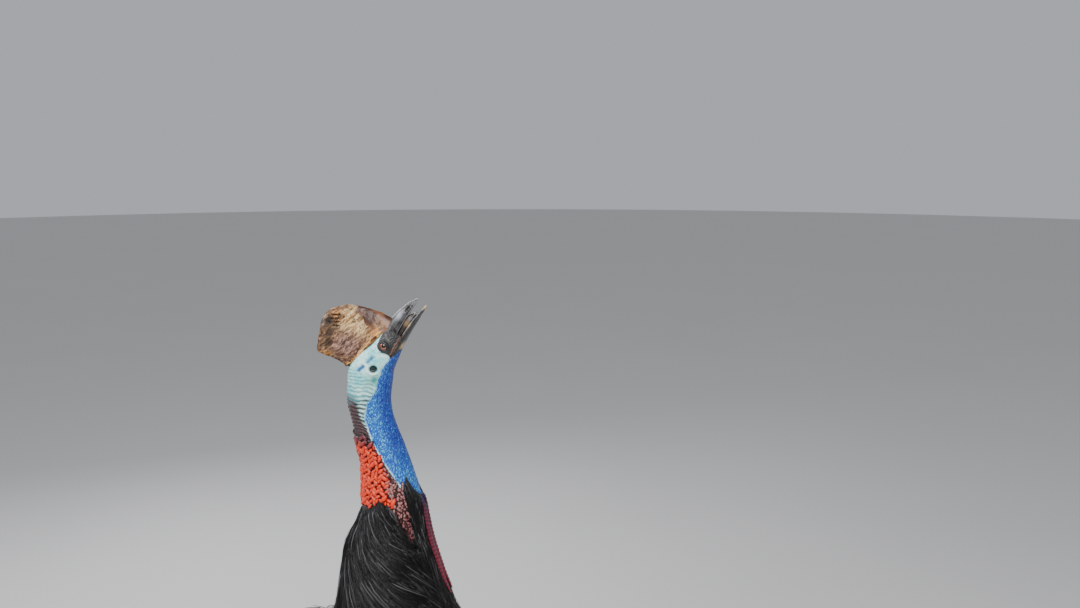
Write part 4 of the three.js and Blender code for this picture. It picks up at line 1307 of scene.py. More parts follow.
class Plumage(Finish):
    """Glossy black, hair-like feathers, each a little different, browner and duller at the tips."""

    name = "plumage"
    gloss = Gloss(specular=0.42)

    def pattern(self) -> Surface:
        """Black varied by each strand's own tint and by its share from root to tip; the palest tint is a
        silvery painted highlight.

        Returns:
            The colour, the roughness, the height and its depth.
        """
        graph = self.graph
        tint = graph.value("tint")
        blacks = [(0.0, (0.002, 0.002, 0.003)), (0.6, (0.005, 0.005, 0.006)), (0.8, (0.012, 0.012, 0.014))]
        # The last stop is a silvery painted highlight on a few strands.
        colour = graph.bands(tint, blacks + [(0.97, (0.13, 0.135, 0.145))])
        brown = graph.times(graph.value("reach"), graph.ramp(tint, 0.3, 0.9, 0.15, 0.7))
        colour = graph.mix(brown, colour, (0.022, 0.018, 0.015))
        fine = graph.noise(graph.place(), 700, 2)
        rough = graph.ramp(tint, 0.0, 1.0, 0.30, 0.46)
        return colour, rough, fine, 0.0002


class QuillHorn(Finish):
    """Bare black quill, glossy, with fine growth bands."""

    name = "quill_horn"
    gloss = Gloss(specular=0.3, coat=0.1, coat_rough=0.3)

    def pattern(self) -> Surface:
        """Black with a little brown in soft bands.

        Returns:
            The colour, the roughness, the height and its depth.
        """
        graph = self.graph
        band = graph.noise(graph.place((0.3, 0.3, 1.6)), 160, 3)
        colour = graph.tone(band, 0.35, 0.7, (0.004, 0.004, 0.004), (0.020, 0.016, 0.014))
        return colour, graph.ramp(band, 0.3, 0.7, 0.25, 0.4), band, 0.0003


class FloorFinish(Finish):
    """A plain pale floor."""

    name = "pale_floor"
    gloss = Gloss(specular=0.2)

    def pattern(self) -> Surface:
        """Almost even grey.

        Returns:
            The colour, the roughness, the height and its depth.
        """
        graph = self.graph
        cloud = graph.noise(graph.place(), 0.8, 2)
        colour = graph.mix(cloud, (0.60, 0.59, 0.575), (0.64, 0.63, 0.615))
        return colour, graph.ramp(cloud, 0.3, 0.7, 0.7, 0.8), cloud, 0.0001


PLUMAGE = Plumage().material


# The skin


SKIN_VALUES = (
    "blue_edge black_edge under_edge throat streak green nape nape_dark nape_low red pale_line ear ear_rim"
    " lip lip_pale crest"
)


@dataclass
class Skin:
    """One skin over head, neck, trunk and rump, with the thighs' skins in the same mesh.

    Attributes:
        trunk: The form that it covers.
        columns: Points round each ring.
        bill_at: Where the skin ends under the bill's root.
        head_pivot: The x and z about which rings turn from the bill's line to level.
        body_pivot: The x and z about which rings turn from level to the trunk's line.
        fold_pitch: The spacing of the nape's folds.
    """

    trunk: Trunk
    columns: int = 168
    bill_at: float = 42.0
    head_pivot: tuple[float, float] = (110.0, 1500.0)
    body_pivot: tuple[float, float] = (-200.0, 1130.0)
    fold_pitch: float = 7.6

    def spine(self) -> tuple[Array, Array]:
        """The middle and the front direction of each ring, from the bill to the end of the rump.

        Returns:
            Points on a line through the flesh, and unit vectors in the rings' planes that point to the
            throat, the breast and the belly in turn.
        """
        middles: list[Array] = []
        fronts: list[Array] = []
        rise = math.pi / 2 - HEAD_RISE

        along = np.linspace(self.bill_at, -8.1, 42)[:-1]
        middles.append(head_point(along, -8.0, 0.0))
        fronts.append(np.tile(-HEAD_UP, (len(along), 1)))

        tilt = np.linspace(rise, 0, 60)[:-1]
        front = np.stack([np.cos(tilt), 0 * tilt, -np.sin(tilt)], -1)
        far = np.linspace(133.9, 140.5, 60)[:-1]
        middles.append(np.array([self.head_pivot[0], 0, self.head_pivot[1]]) - front * far[:, None])
        fronts.append(front)

        z = np.concatenate([np.linspace(1500, 1240, 165)[:-1], np.linspace(1240, 1130, 26)[:-1]])
        middles.append(np.stack([self.trunk.neck.middle(z), 0 * z, z], -1))
        fronts.append(np.tile([1.0, 0.0, 0.0], (len(z), 1)))

        tilt = np.linspace(0, math.pi / 2 - BODY_RISE, 36)[:-1]
        front = np.stack([np.cos(tilt), 0 * tilt, -np.sin(tilt)], -1)
        far = np.linspace(self.trunk.neck.middle(1130.0) - self.body_pivot[0], 329, 36)[:-1]
        middles.append(np.array([self.body_pivot[0], 0, self.body_pivot[1]]) + front * far[:, None])
        fronts.append(front)

        along = np.linspace(106, -478, 60)
        up = np.interp(-along, [-106, 332, 393, 436, 478], [0, 8, -41, -97, -118])
        middles.append(body_point(along, up, 0.0))
        fronts.append(np.tile(-BODY_UP, (len(along), 1)))
        return np.concatenate(middles), np.concatenate(fronts)

    def grid(self) -> Array:
        """Rings of surface points.

        Each ray leaves the spine at its own angle in the ring's plane, and its length is where the
        form's distance changes sign for the last time, found by steps and then by halving.

        Returns:
            Points, by ring and place round it.
        """
        middles, fronts = self.spine()
        angles = turns(self.columns)
        rays = fronts[:, None] * np.cos(angles)[None, :, None] + LEFTWARD * np.sin(angles)[None, :, None]
        steps = np.linspace(0, 420, 85)
        starts = middles[:, None]
        inside = np.stack([self.trunk.distance(starts + rays * step) < 0 for step in steps], axis=-1)
        last = inside.shape[-1] - 1 - np.argmax(inside[..., ::-1], axis=-1)
        near = steps[last] * inside.any(axis=-1)
        far = near + steps[1]
        for _ in range(13):
            half = (near + far) / 2
            within = self.trunk.distance(starts + rays * half[..., None]) < 0
            near, far = np.where(within, half, near), np.where(within, far, half)
        return starts + rays * near[..., None]

    @staticmethod
    def blue_edge(points: Array) -> Array:
        """How far a point lies on the throat's side of the line between blue and pale skin.

        Args:
            points: Points of the skin.

        Returns:
            Distances along x, negative behind the line.
        """
        z = [-312, -300, -294, -283, -269, -252, -234, -214, -198, -185, -164]
        x = [80, 56, 43, 39, 31, 20, 8, -2, -12, -19.5, -26]
        z += [-146, -130, -112, -90, -75, -60, -43, -34, -26, -19, 10]
        x += [-32, -33.5, -28.5, -15, -8.5, -4, 1.5, 6, 11, 17, 24]
        return points[..., 0] - np.interp(points[..., 2] - HEAD_HEIGHT, z, x)

    @staticmethod
    def black_edge(points: Array) -> Array:
        """How far a point lies inside the black skin about the eye and the root of the bill.

        Args:
            points: Points of the skin.

        Returns:
            Distances along the bill, negative behind the line.
        """
        along, up = head_place(points)
        at = [-40, -34, -32, -30, -28, -23.5, -18.4, -12.5, -4.8, 5.8, 12.6, 15, 30]
        line = [25, 20, 16, 9, -3, -1.5, 0, -0.5, -4, 4, 14, 34, 46]
        return along - np.interp(up, at, line)

    @staticmethod
    def strip(points: Array) -> Array:
        """How far a point lies inside the strip of small caruncles that runs down into the feathers.

        Args:
            points: Points of the skin.

        Returns:
            Distances, negative outside.
        """
        start, end = np.array([27.0, -286.0]), np.array([51.0, -383.0])
        place = np.stack([points[..., 0], points[..., 2] - HEAD_HEIGHT], -1) - start
        share = np.clip(place @ (end - start) / np.sum((end - start) ** 2), 0, 1)
        away = np.linalg.norm(place - share[..., None] * (end - start), axis=-1)
        return 14 - 4.5 * share - away

    @staticmethod
    def feather_line(points: Array) -> Array:
        """How far a point lies below the line where the feathers begin, and outside the strip.

        Args:
            points: Points of the skin.

        Returns:
            Distances, negative on bare skin.
        """
        x, z = points[..., 0], points[..., 2] - HEAD_HEIGHT
        at = [-60, -34, -22, -12, -5, 2, 12, 24, 34, 40, 42.5, 45, 50, 54, 60, 67, 78]
        line = [-326, -324, -320, -306, -297, -303, -311, -318, -308]
        line += [-294, -268, -257, -266, -276, -288, -300, -312]
        return np.minimum(np.interp(x, at, line) - z, -Skin.strip(points))

    def values(self, grid: Array, angles: Array) -> dict[str, Array]:
        """Works out what the finish reads at each point: edges in millimetres and shares from 0 to 1.

        Args:
            grid: Points, by ring and place round it.
            angles: Each point's angle round its ring.

        Returns:
            One array a name.
        """
        along, up = head_place(grid)
        z = grid[..., 2] - HEAD_HEIGHT
        edge = self.blue_edge(grid)
        behind = smooth(-edge, 0, 9 - 7 * smooth(-z, 70, 90))
        folded = behind * smooth(-z - 0.35 * (grid[..., 0] + 50), 34, 56)
        low_line = np.interp(edge, [-60, -35, -25, -14, -9, -4, 0], [89, 94, 102, 120, 138, 154, 168])
        return {
            "blue_edge": edge,
            "black_edge": np.where(z < -60, -50, self.black_edge(grid)),
            "under_edge": np.clip(self.feather_line(grid), -30, 30),
            "throat": smooth(np.cos(angles), 0.35, 0.9) * smooth(z, -280, -180),
            # The temple dashes, deepened as painted shade in their furrow.
            "streak": self.temple(along, up),
            # Painted shade under the ear.
            "green": hump(along, -54, 9) * hump(up, -26, 7) + 0.5 * hump(along, -62, 14) * hump(up, -20, 8),
            "nape": folded,
            "nape_dark": smooth(-z + 0.6 * edge, 80, 98),
            "nape_low": smooth(-z - low_line, -8, 12),
            # The skin of the red region is painted near-black red, as shade between the lumps.
            "red": smooth(-edge, 0, 9) * smooth(-z, 186, 214),
            "pale_line": smooth(-z, 110, 150),
            # Painted shade in the ear's opening.
            "ear": 1 - smooth(self.off_ear(along, up), 6.2, 9.4),
            "ear_rim": hump(self.off_ear(along, up), 10.6, 1.5) * self.under_ear(along, up),
            "lip": hump(up - np.interp(along, [1, 14, 39], [-23, -19, -17]), 0, 1.5) * smooth(along, -1, 4),
            "lip_pale": hump(up - 0.1 * along, -33, 1.8) * between(along, 18, 24, 38, 44),
            "crest": self.crest(grid),
        }

    @staticmethod
    def temple(along: Array, up: Array) -> Array:
        """Two bluish dashes in a line over the ear, wavy along their edges, each a furrow whose blue the
        finish deepens as painted shade.

        Args:
            along: Places along the bill's line.
            up: Places square to it.

        Returns:
            Shares from 0 to 1.
        """
        over = up - (3 - 0.2 * (along + 17)) - 0.4 * np.sin(along * 0.55)
        first = between(along, -39, -34, -20, -14) * 0.75
        second = between(along, -66, -60, -46, -41)
        return np.minimum(1.3 * hump(over, 0, 3.9) * (first + second), 1.0)

    @staticmethod
    def ear_place(along: Array, up: Array) -> tuple[Array, Array]:
        """How far a point lies level and upright from the middle of the ear, as the bird stands."""
        along, up = along + 38.5, up + 11.0
        return along * 0.588 - up * 0.809, along * 0.809 + up * 0.588

    @staticmethod
    def under_ear(along: Array, up: Array) -> Array:
        """1 below and behind the middle of the ear and 0 above it."""
        level, upright = Skin.ear_place(along, up)
        return smooth(-upright - 0.5 * level, -4, 5)

    @staticmethod
    def off_ear(along: Array, up: Array) -> Array:
        """How far a point lies from the middle of the ear, in the plane of the head's side."""
        level, upright = Skin.ear_place(along, up)
        return np.hypot(level / 1.08, upright * 1.06)

    def crest(self, grid: Array) -> Array:
        """1 on the crown of a nape fold and 0 in a groove: a cosine of the height, bent by noise.

        The folds lie level at the nape and turn down towards the blue skin.

        Args:
            grid: Points, by ring and place round it.

        Returns:
            Shares from 0 to 1.
        """
        edge = -self.blue_edge(grid)
        z = grid[..., 2] - 0.10 * grid[..., 0] + 6 * hump(edge, 0, 11)
        z = z + 4.0 * noise(grid * [1, 1, 0.6], 24, 5) + 1.8 * noise(grid, 9, 6)
        wave = 0.5 + 0.5 * np.cos(z * 2 * math.pi / self.fold_pitch)
        low = smooth(HEAD_HEIGHT - grid[..., 2] - 0.5 * edge, 78, 104)
        return wave ** (0.45 + 0.65 * low)

    def relief(self, grid: Array, values: dict[str, Array]) -> Array:
        """How far each point is moved along its normal, in millimetres: folds, brow, lids, cheek and ear.

        Args:
            grid: Points, by ring and place round it.
            values: What the finish reads there.

        Returns:
            One height a point.
        """
        along, up = head_place(grid)
        side = smooth(np.abs(grid[..., 1]), 8, 18) * smooth(grid[..., 2], HEAD_HEIGHT - 90, HEAD_HEIGHT - 60)
        eye = np.hypot((along - EYE_ALONG) / 0.95, (up - EYE_UP) / 1.05)
        ear = self.off_ear(along, up)
        brow = 2.4 * hump(up, 12.5, 4.5) * between(along, -22, -4, 26, 38)
        cheek = 2.0 * hump(along, -20, 15) * hump(up, -18, 9)
        temple = -1.6 * self.temple(along, up)
        lids = 1.7 * hump(eye, 12.0, 2.4) - 7.0 * (1 - smooth(eye, 7.2, 9.6))
        ridge = 0.3 + 1.5 * self.under_ear(along, up)
        opening = ridge * hump(ear, 11.0, 2.2) - 6.5 * (1 - smooth(ear, 4.5, 9.6))
        slit = np.clip(0.6 + (along + 3) * 0.07, 0.6, 3)
        mouth = -4.5 * (1 - smooth(np.abs(up + 25.5), slit, slit + 1.8)) * smooth(along, -5, 1)
        mouth = mouth + 0.9 * values["lip"] * (1 - smooth(along, 36, 44))
        jaw = 0.9 * hump(up, -27 + 0.1 * along, 3) * between(along, -60, -30, -12, 0)
        deep = 0.75 + 0.7 * values["nape_dark"]
        folds = values["nape"] * deep * (values["crest"] - 0.5) * (1 - values["red"])
        wrinkle = 0.35 * layered_noise(grid * [1, 1, 0.35], 9, 3) * smooth(grid[..., 2], 1240, 1270)
        return side * (brow + cheek + temple + lids + opening + mouth + jaw) + folds * 1.5 + wrinkle

    def build(self, grid: Array, finish: Material) -> None:
        """Makes the skin over its plain rings and sets it in place of the nodes of flesh.

        Args:
            grid: The plain rings.
            finish: Its material.
        """
        angles = np.broadcast_to(turns(self.columns), grid.shape[:2])
        values = self.values(grid, angles)
        trunk = tube(moved(grid, self.relief(grid, values)), values)
        legs = [Thigh(side).shell() for side in Side]
        for leg in legs:
            leg.values = {name: np.zeros(len(leg.points)) for name in values}
            leg.values["under_edge"] += 30
        nodes = "head neck_upper neck_middle neck_lower neck_base torso tail thigh_left thigh_right"
        joined([trunk, *legs]).install("bird_skin", finish, "neck_skin", *nodes.split())


# Horn, eyes and bill


@dataclass
class Casque:
    """The keeled blade of horn on the head, smooth in front and flaked behind.

    Attributes:
        rows: Rings from the skull up to the crown.
        columns: Points round each ring.
        sizes: Its rings at heights over the skull: back, front and half width.
    """

    rows: int = 96
    columns: int = 180
    sizes: Stations = Stations("back front wide", [
        (4, -60, 60, 23), (20, -70, 59, 23), (45, -76, 55.5, 20.5), (70, -80, 47, 17),
        (90, -83.5, 38.5, 14.5), (105, -80, 29, 12.5), (118, -62, 17, 10.5), (127, -40, 5, 8),
        (132, -27, -8, 4),
    ])

    def form(self) -> tuple[Array, Array, Array, Array]:
        """The plain blade.

        At each height the ring is an ellipse between its back and front, narrowed towards the front
        to a keel.

        Returns:
            Distances along, up and to the left, and the angle round each ring, 0 at the front.
        """
        up, angle = lattice(np.linspace(4, 131.5, self.rows), self.columns)
        back, front, wide = (self.sizes(name, up) for name in ("back", "front", "wide"))
        round_way = np.sign(np.cos(angle)) * np.abs(np.cos(angle)) ** 0.9
        keel = 1 - 0.28 * np.maximum(np.cos(angle), 0)
        along = (front + back) / 2 + (front - back) / 2 * round_way
        return along, up, wide * np.sin(angle) * keel, angle

    def build(self, finish: Material) -> None:
        """Wears the blade: terraces of flaked horn, slots carved in and painted dark as shade, a ragged back
        edge, a lip along the head.

        The front is smooth. The line where it begins, and the places of the slots, the stain patches and the
        painted shadow band, are given in x and z from the head's own origin, as they are seen from the side.

        Args:
            finish: Its material.
        """
        along, up, y, angle = self.form()
        spot = np.stack([along, up, y * 0.6], -1)
        plain = head_point(along, up, y)
        x, z = plain[..., 0], plain[..., 2] - HEAD_HEIGHT
        ragged = layered_noise(spot, 22, 21, 4)
        front = np.interp(z, [20, 27, 41.5, 51.6, 67.9, 84.2, 95], [-16, -18, -19, -34, -46, -46, -42])
        flaked = 1 - smooth(x - front - 5 * ragged, -4, 3)
        steps = (layered_noise(spot * [0.8, 1.5, 1.0], 22, 31, 4) + 1.2) * 2.6
        part = steps - np.floor(steps)
        terrace = np.floor(steps) + smooth(part, 0.62, 1.0)
        lip = np.interp(along, [-80, -72, -57, -35, -10, 16, 38, 60], [40, 37, 30, 27, 26, 19, 17, 14])
        over_lip = up - lip - 3.0 * noise(spot, 6, 41)
        rim = hump(over_lip, 2.2, 3.4) * smooth(over_lip, -3, 0) * (1 - smooth(along, 22, 34))
        bars = smooth(np.cos((z - 66.5 + 1.6 * noise(spot, 9, 52)) * 2 * math.pi / 7.2), -0.1, 0.5)
        reach = smooth(x + 7 * noise(spot * [0, 1, 0], 5, 53), -103, -97) * (1 - smooth(x, -86, -79))
        # The slots are carved in and painted near black, as shade in the recesses.
        slots = bars * reach * between(z, 36, 42, 68, 73)
        edge = smooth(-np.cos(angle), 0.5, 0.95)
        step_dark = between(part, 0.5, 0.62, 0.66, 0.85) * flaked * 0.9
        spots = smooth(noise(spot, 4.2, 57), 0.5, 0.75) * hump(along, 36, 14) * hump(up, 40, 10)
        pits = smooth(noise(spot * [1.6, 1, 1], 5.5, 58), 0.15, 0.5) * rim
        relief = flaked * (0.6 * terrace - 2.0) + 1.9 * rim - 3.4 * slots + 0.35 * layered_noise(spot, 6, 61)
        relief += edge * (3.0 * noise(spot * [0.5, 1, 0.5], 9, 71) - 1.0) - 0.8 * spots
        relief *= smooth(132 - up, 0, 6) * 0.8 + 0.2
        shade = hump(x - np.interp(z, [-10, 8, 46, 75], [-112, -112, -104, -104]), 0, 10) * smooth(z, -8, 4)
        knobs = hump(x, -119, 9) * hump(z, 55, 12) + edge * smooth(z, 60, 76)
        cream = hump(np.hypot((x + 62) * 1.1, z - 56), 0, 24)
        amber = smooth(-z, 2, 12) * smooth(-x, 98, 112) + hump(along, 22, 17) * hump(up, 28, 11)
        amber = amber + 0.8 * hump(np.hypot(x + 90, (z - 66) * 0.8), 0, 11)
        values = {
            "layer": flaked,
            "cream": cream + 0.7 * hump(np.hypot(x + 38, z - 34), 0, 12),
            "rim": rim,
            # Near black: the horn's spots and pits, the darker steps, and the slots as painted shade.
            "dirt": np.clip((slots * 0.95 + step_dark + spots) * (1 - rim) + 0.85 * pits, 0, 1),
            "mauve": hump(np.hypot((x + 70) * 0.8, z - 6), 0, 26),
            "shade": np.clip(shade * (1 - smooth(z, 58, 72)), 0, 1),
            "grey": np.clip(knobs, 0, 1),
            "orange": np.clip(amber, 0, 1),
        }
        tube(moved(plain, relief), values).install("casque_blade", finish, "casque_horn", "casque")


class Jaw(Enum):
    """The two halves of the bill."""

    UPPER = "upper"
    LOWER = "lower"


@dataclass
class Bill:
    """The bill, parted from the corner of the mouth to the tips, with the mouth's lining between.

    Attributes:
        rows: Rings along each jaw.
        columns: Points round each ring.
        nostril: Where the nostril lies, along and up.
        mouth: The two cutting edges, by places along the bill.
    """

    rows: int = 90
    columns: int = 72
    nostril: tuple[float, float] = (94.0, 4.4)
    mouth: Stations = Stations("upper lower", [
        (-10, -20.1, -21.4), (15, -13.5, -19.6), (40, -8.6, -17.8), (65, -5.8, -16.4), (90, -4, -17),
        (142, -1.6, -22.6),
    ])

    def sizes(self, jaw: Jaw) -> Stations:
        """The jaw's rings: top, bottom and half width at places along the bill.

        Args:
            jaw: Which half.

        Returns:
            Its stations.
        """
        if jaw is Jaw.UPPER:
            rows = [
                (28, 19, -16, 20.5), (36, 18, -15, 19.5), (58, 18.8, -12.5, 16), (80, 16, -11, 12.5),
                (100, 10.2, -8.5, 9.5), (114, 4.8, -5.5, 6), (121.6, 1.2, -2.6, 1.3),
            ]
        else:
            rows = [
                (4, -15, -34, 22), (36, -13.5, -30, 18), (70, -12.5, -26.5, 13), (100, -14.5, -25, 8.5),
                (116, -18, -24.4, 4.5), (120.8, -19.8, -22.8, 1.2),
            ]
        return Stations("top bottom wide", rows)

    def paint(
        self, jaw: Jaw, along: Array, up: Array, over: Array, flat: Array, ridge: Array
    ) -> dict[str, Array]:
        """Where the dark horn is paler or yellower, with painted highlights on the upper jaw, and where the
        mouth shows, painted near black as shade.

        Args:
            jaw: Which half.
            along: Places along the bill.
            up: Places square to it.
            over: How far each point lies from the cutting edge, into the jaw.
            flat: Whether the point faces the mouth.
            ridge: 1 on the jaw's outer ridge.

        Returns:
            Shares from 0 to 1 by name.
        """
        if jaw is Jaw.UPPER:
            # Painted highlights: a line along the cutting edge, the grey plate and the ridge.
            line = hump(over, 0.9, 0.9) * smooth(along, 26, 44) * 0.75
            plate = hump((along - 75) / 10.5, 0, 1) * hump((up - 9.5) / 5.6, 0, 1)
            pale = line + 0.9 * plate + 0.8 * smooth(ridge, 0.5, 0.9) * smooth(along, 60, 76)
            warm = 0 * along
        else:
            pale = hump(up, -33, 3) * between(along, 2, 8, 20, 26) * 0.5
            pale = pale + 0.35 * hump(over, 1.0, 1.0) * smooth(along, 40, 60)
            warm = 0.55 * hump(over, 1.2, 1.6) * (1 - smooth(along, 22, 32))
            warm = warm + 0.85 * hump(up, -29.5, 2.2) * hump(along, 29, 7) + 0.8 * smooth(along, 108, 117)
            warm = warm + 0.5 * hump(along, 70, 6) * hump(over, 1.5, 2.0)
        # The mouth share paints the faces inside the mouth near black, as shade.
        shares = {"pale": pale * ~flat, "warm": warm * ~flat, "mouth": flat * 0.9}
        return {name: np.clip(share, 0, 1) for name, share in shares.items()}

    def build(self, jaw: Jaw, finish: Material) -> None:
        """Makes one jaw: a full ring cut flat at its edge, with a lip, a ridge, and nostrils above.

        Args:
            jaw: Which half.
            finish: Its material.
        """
        sizes = self.sizes(jaw)
        span = np.linspace(0, 1, self.rows)
        along = sizes.at[0] + (sizes.at[-1] - sizes.at[0]) * (1 - (1 - span) ** 1.35)
        along, angle = lattice(along, self.columns)
        top, bottom, wide = (sizes(name, along) for name in ("top", "bottom", "wide"))
        up = (top + bottom) / 2 + (top - bottom) / 2 * np.cos(angle)
        y = wide * np.sin(angle)
        edge = self.mouth(jaw.value, along)
        sign = 1.0 if jaw is Jaw.UPPER else -1.0
        over = sign * (up - edge)
        flat = over < 0
        near_tip = smooth(sizes.at[-1] - along, 0, 14)
        up = np.where(flat, edge + sign * 1.2 * (1 - np.abs(y / wide)) * near_tip, up)
        ridge = hump(np.abs(y), 0, 3.4) * (sign * np.cos(angle) > 0)
        groove = 0.7 * hump(over, 6.8, 1.6) * near_tip * smooth(along, 40, 60)
        relief = 0.8 * hump(over, 2.2, 2.2) * near_tip - groove
        if jaw is Jaw.UPPER:
            hole = np.hypot((along - self.nostril[0]) / 7.5, (up - self.nostril[1]) / 2.1)
            relief = relief - 2.6 * (1 - smooth(hole, 0.55, 1.15)) + 0.7 * hump(hole, 1.5, 0.5)
            relief = relief + 0.8 * hump((along - 75) / 12, 0, 1) * hump((up - 9.5) / 6, 0, 1)
        relief = relief * ~flat + 0.9 * ridge * near_tip
        relief = relief + 0.12 * layered_noise(np.stack([along * 0.4, up, y], -1), 3.5, 81)
        shell = tube(moved(head_point(along, up, y), relief), self.paint(jaw, along, up, over, flat, ridge))
        shell.install(f"{jaw.value}_bill", finish, "bill_horn", f"bill_{jaw.value}")

    def lining(self, finish: Material) -> None:
        """The fleshy floor and sides of the mouth, set in from the edges, with the tongue's hump ahead.

        Args:
            finish: Its material.
        """
        along, angle = lattice(-7 + 107 * np.sin(np.linspace(0, math.pi / 2, 70)), 32)
        upper, lower = self.mouth("upper", along), self.mouth("lower", along)
        blunt = np.sqrt(np.clip((100.5 - along) / 24, 0.01, 1))
        wide = self.sizes(Jaw.LOWER)("wide", along) * 0.66 * blunt
        rise = ((upper - lower) / 2 + 1.2) * blunt
        size = (np.abs(np.cos(angle)) ** 3 + np.abs(np.sin(angle)) ** 3) ** (-1 / 3)
        up = lower + rise - 1.0 + rise * np.cos(angle) * size
        y = wide * np.sin(angle) * size
        wrinkle = 0.5 * layered_noise(np.stack([along * 0.5, up, y], -1), 5, 83)
        pale = 0.3 * hump(along, 81, 5) * hump(up, -12, 3) + 0.2 * hump(along, 70, 4) * hump(up, -15, 2.5)
        # The lining is painted near black as the shade inside the mouth, with a few pale and warm places.
        values = {"pale": pale, "warm": 0.35 * hump(along, 70, 7), "mouth": 1 - pale}
        tube(moved(head_point(along, up, y), wrinkle), values).install("mouth_lining", finish, "bill_horn")


@dataclass
class Eye:
    """An eyeball with a low cornea, and the ring of its lids.

    Attributes:
        side: Which eye.
        half_length: Half of the lids' opening along the bill.
        half_height: Half of the opening square to it.
        lid: The radius of the lids' edge.
        tilt: How far the opening's top leans towards the bill.
    """

    side: Side
    half_length: float = 6.1
    half_height: float = 8.7
    lid: float = 2.1
    tilt: float = math.radians(14)

    @property
    def centre(self) -> Array:
        """The ball's middle."""
        return head_point(EYE_ALONG, EYE_UP, self.side.value * EYE_APART)

    def ball(self, finish: Material) -> None:
        """A ball about its line of sight, with the cornea a low bell over the front.

        Args:
            finish: Its material.
        """
        ahead = unit(0.16 * HEAD_FORWARD + 0.04 * HEAD_UP + self.side.value * LEFTWARD)
        side = unit(np.cross(ahead, HEAD_UP))
        over = np.cross(side, ahead)
        turn, angle = lattice(np.linspace(0.03, math.pi - 0.03, 48), 64)
        radius = EYE_RADIUS + 0.7 * np.exp(-((turn / 0.42) ** 2))
        ring = side * np.cos(angle)[..., None] + over * np.sin(angle)[..., None]
        way = ahead * np.cos(turn)[..., None] + ring * np.sin(turn)[..., None]
        grid = self.centre + way * radius[..., None]
        shell = tube(grid, {"off_axis": np.where(turn < math.pi / 2, EYE_RADIUS * np.sin(turn), EYE_RADIUS)})
        shell.install(f"eyeball_{self.side.label}", finish, "eyeball", f"eye_{self.side.label}")

    def lids(self, finish: Material) -> None:
        """A soft rim round an almond on the ball, thicker above, with fine creases across it.

        Args:
            finish: Its material.
        """
        turn, angle = lattice(turns(96), 20)
        length = self.half_length * np.cos(turn) * (1 - 0.16 * np.sin(turn) ** 2)
        height = self.half_height * np.sin(turn)
        along = length * math.cos(self.tilt) + height * math.sin(self.tilt)
        up = height * math.cos(self.tilt) - length * math.sin(self.tilt)
        depth = np.sqrt(EYE_RADIUS**2 - along**2 - up**2) - 0.2
        thick = self.lid * (1 + 0.3 * np.maximum(-np.cos(turn), 0)) * (1 + 0.05 * np.cos(turn * 34))
        outward = unit(np.stack([along, up], -1))
        reach = thick * np.cos(angle) * 1.5
        middle_along = EYE_ALONG + along + outward[..., 0] * (reach + thick * 0.6)
        middle_up = EYE_UP + up + outward[..., 1] * (reach + thick * 0.6)
        y = EYE_APART + depth + thick * np.sin(angle) - 0.16 * np.maximum(reach, 0)
        rings = head_point(middle_along, middle_up, self.side.value * y)
        many, across = rings.shape[:2]
        i, j = np.meshgrid(np.arange(many), np.arange(across), indexing="ij")
        i_next, j_next = (i + 1) % many, (j + 1) % across
        corners = [i * across + j, i * across + j_next, i_next * across + j_next, i_next * across + j]
        faces = np.stack(corners, -1).reshape(-1, 4)
        count = many * across
        values = {name: np.zeros(count) for name in SKIN_VALUES.split()}
        lower = hump(turn, 1.45 * math.pi, 0.42) * smooth(np.cos(angle), 0.2, 0.8)
        values |= {"black_edge": 20 - 26 * lower.ravel(), "under_edge": np.full(count, -30.0)}
        shell = Shell(rings.reshape(-1, 3), faces, values).outward()
        shell.install(f"eyelids_{self.side.label}", finish, "face_skin")


# Bare lobes and lumps


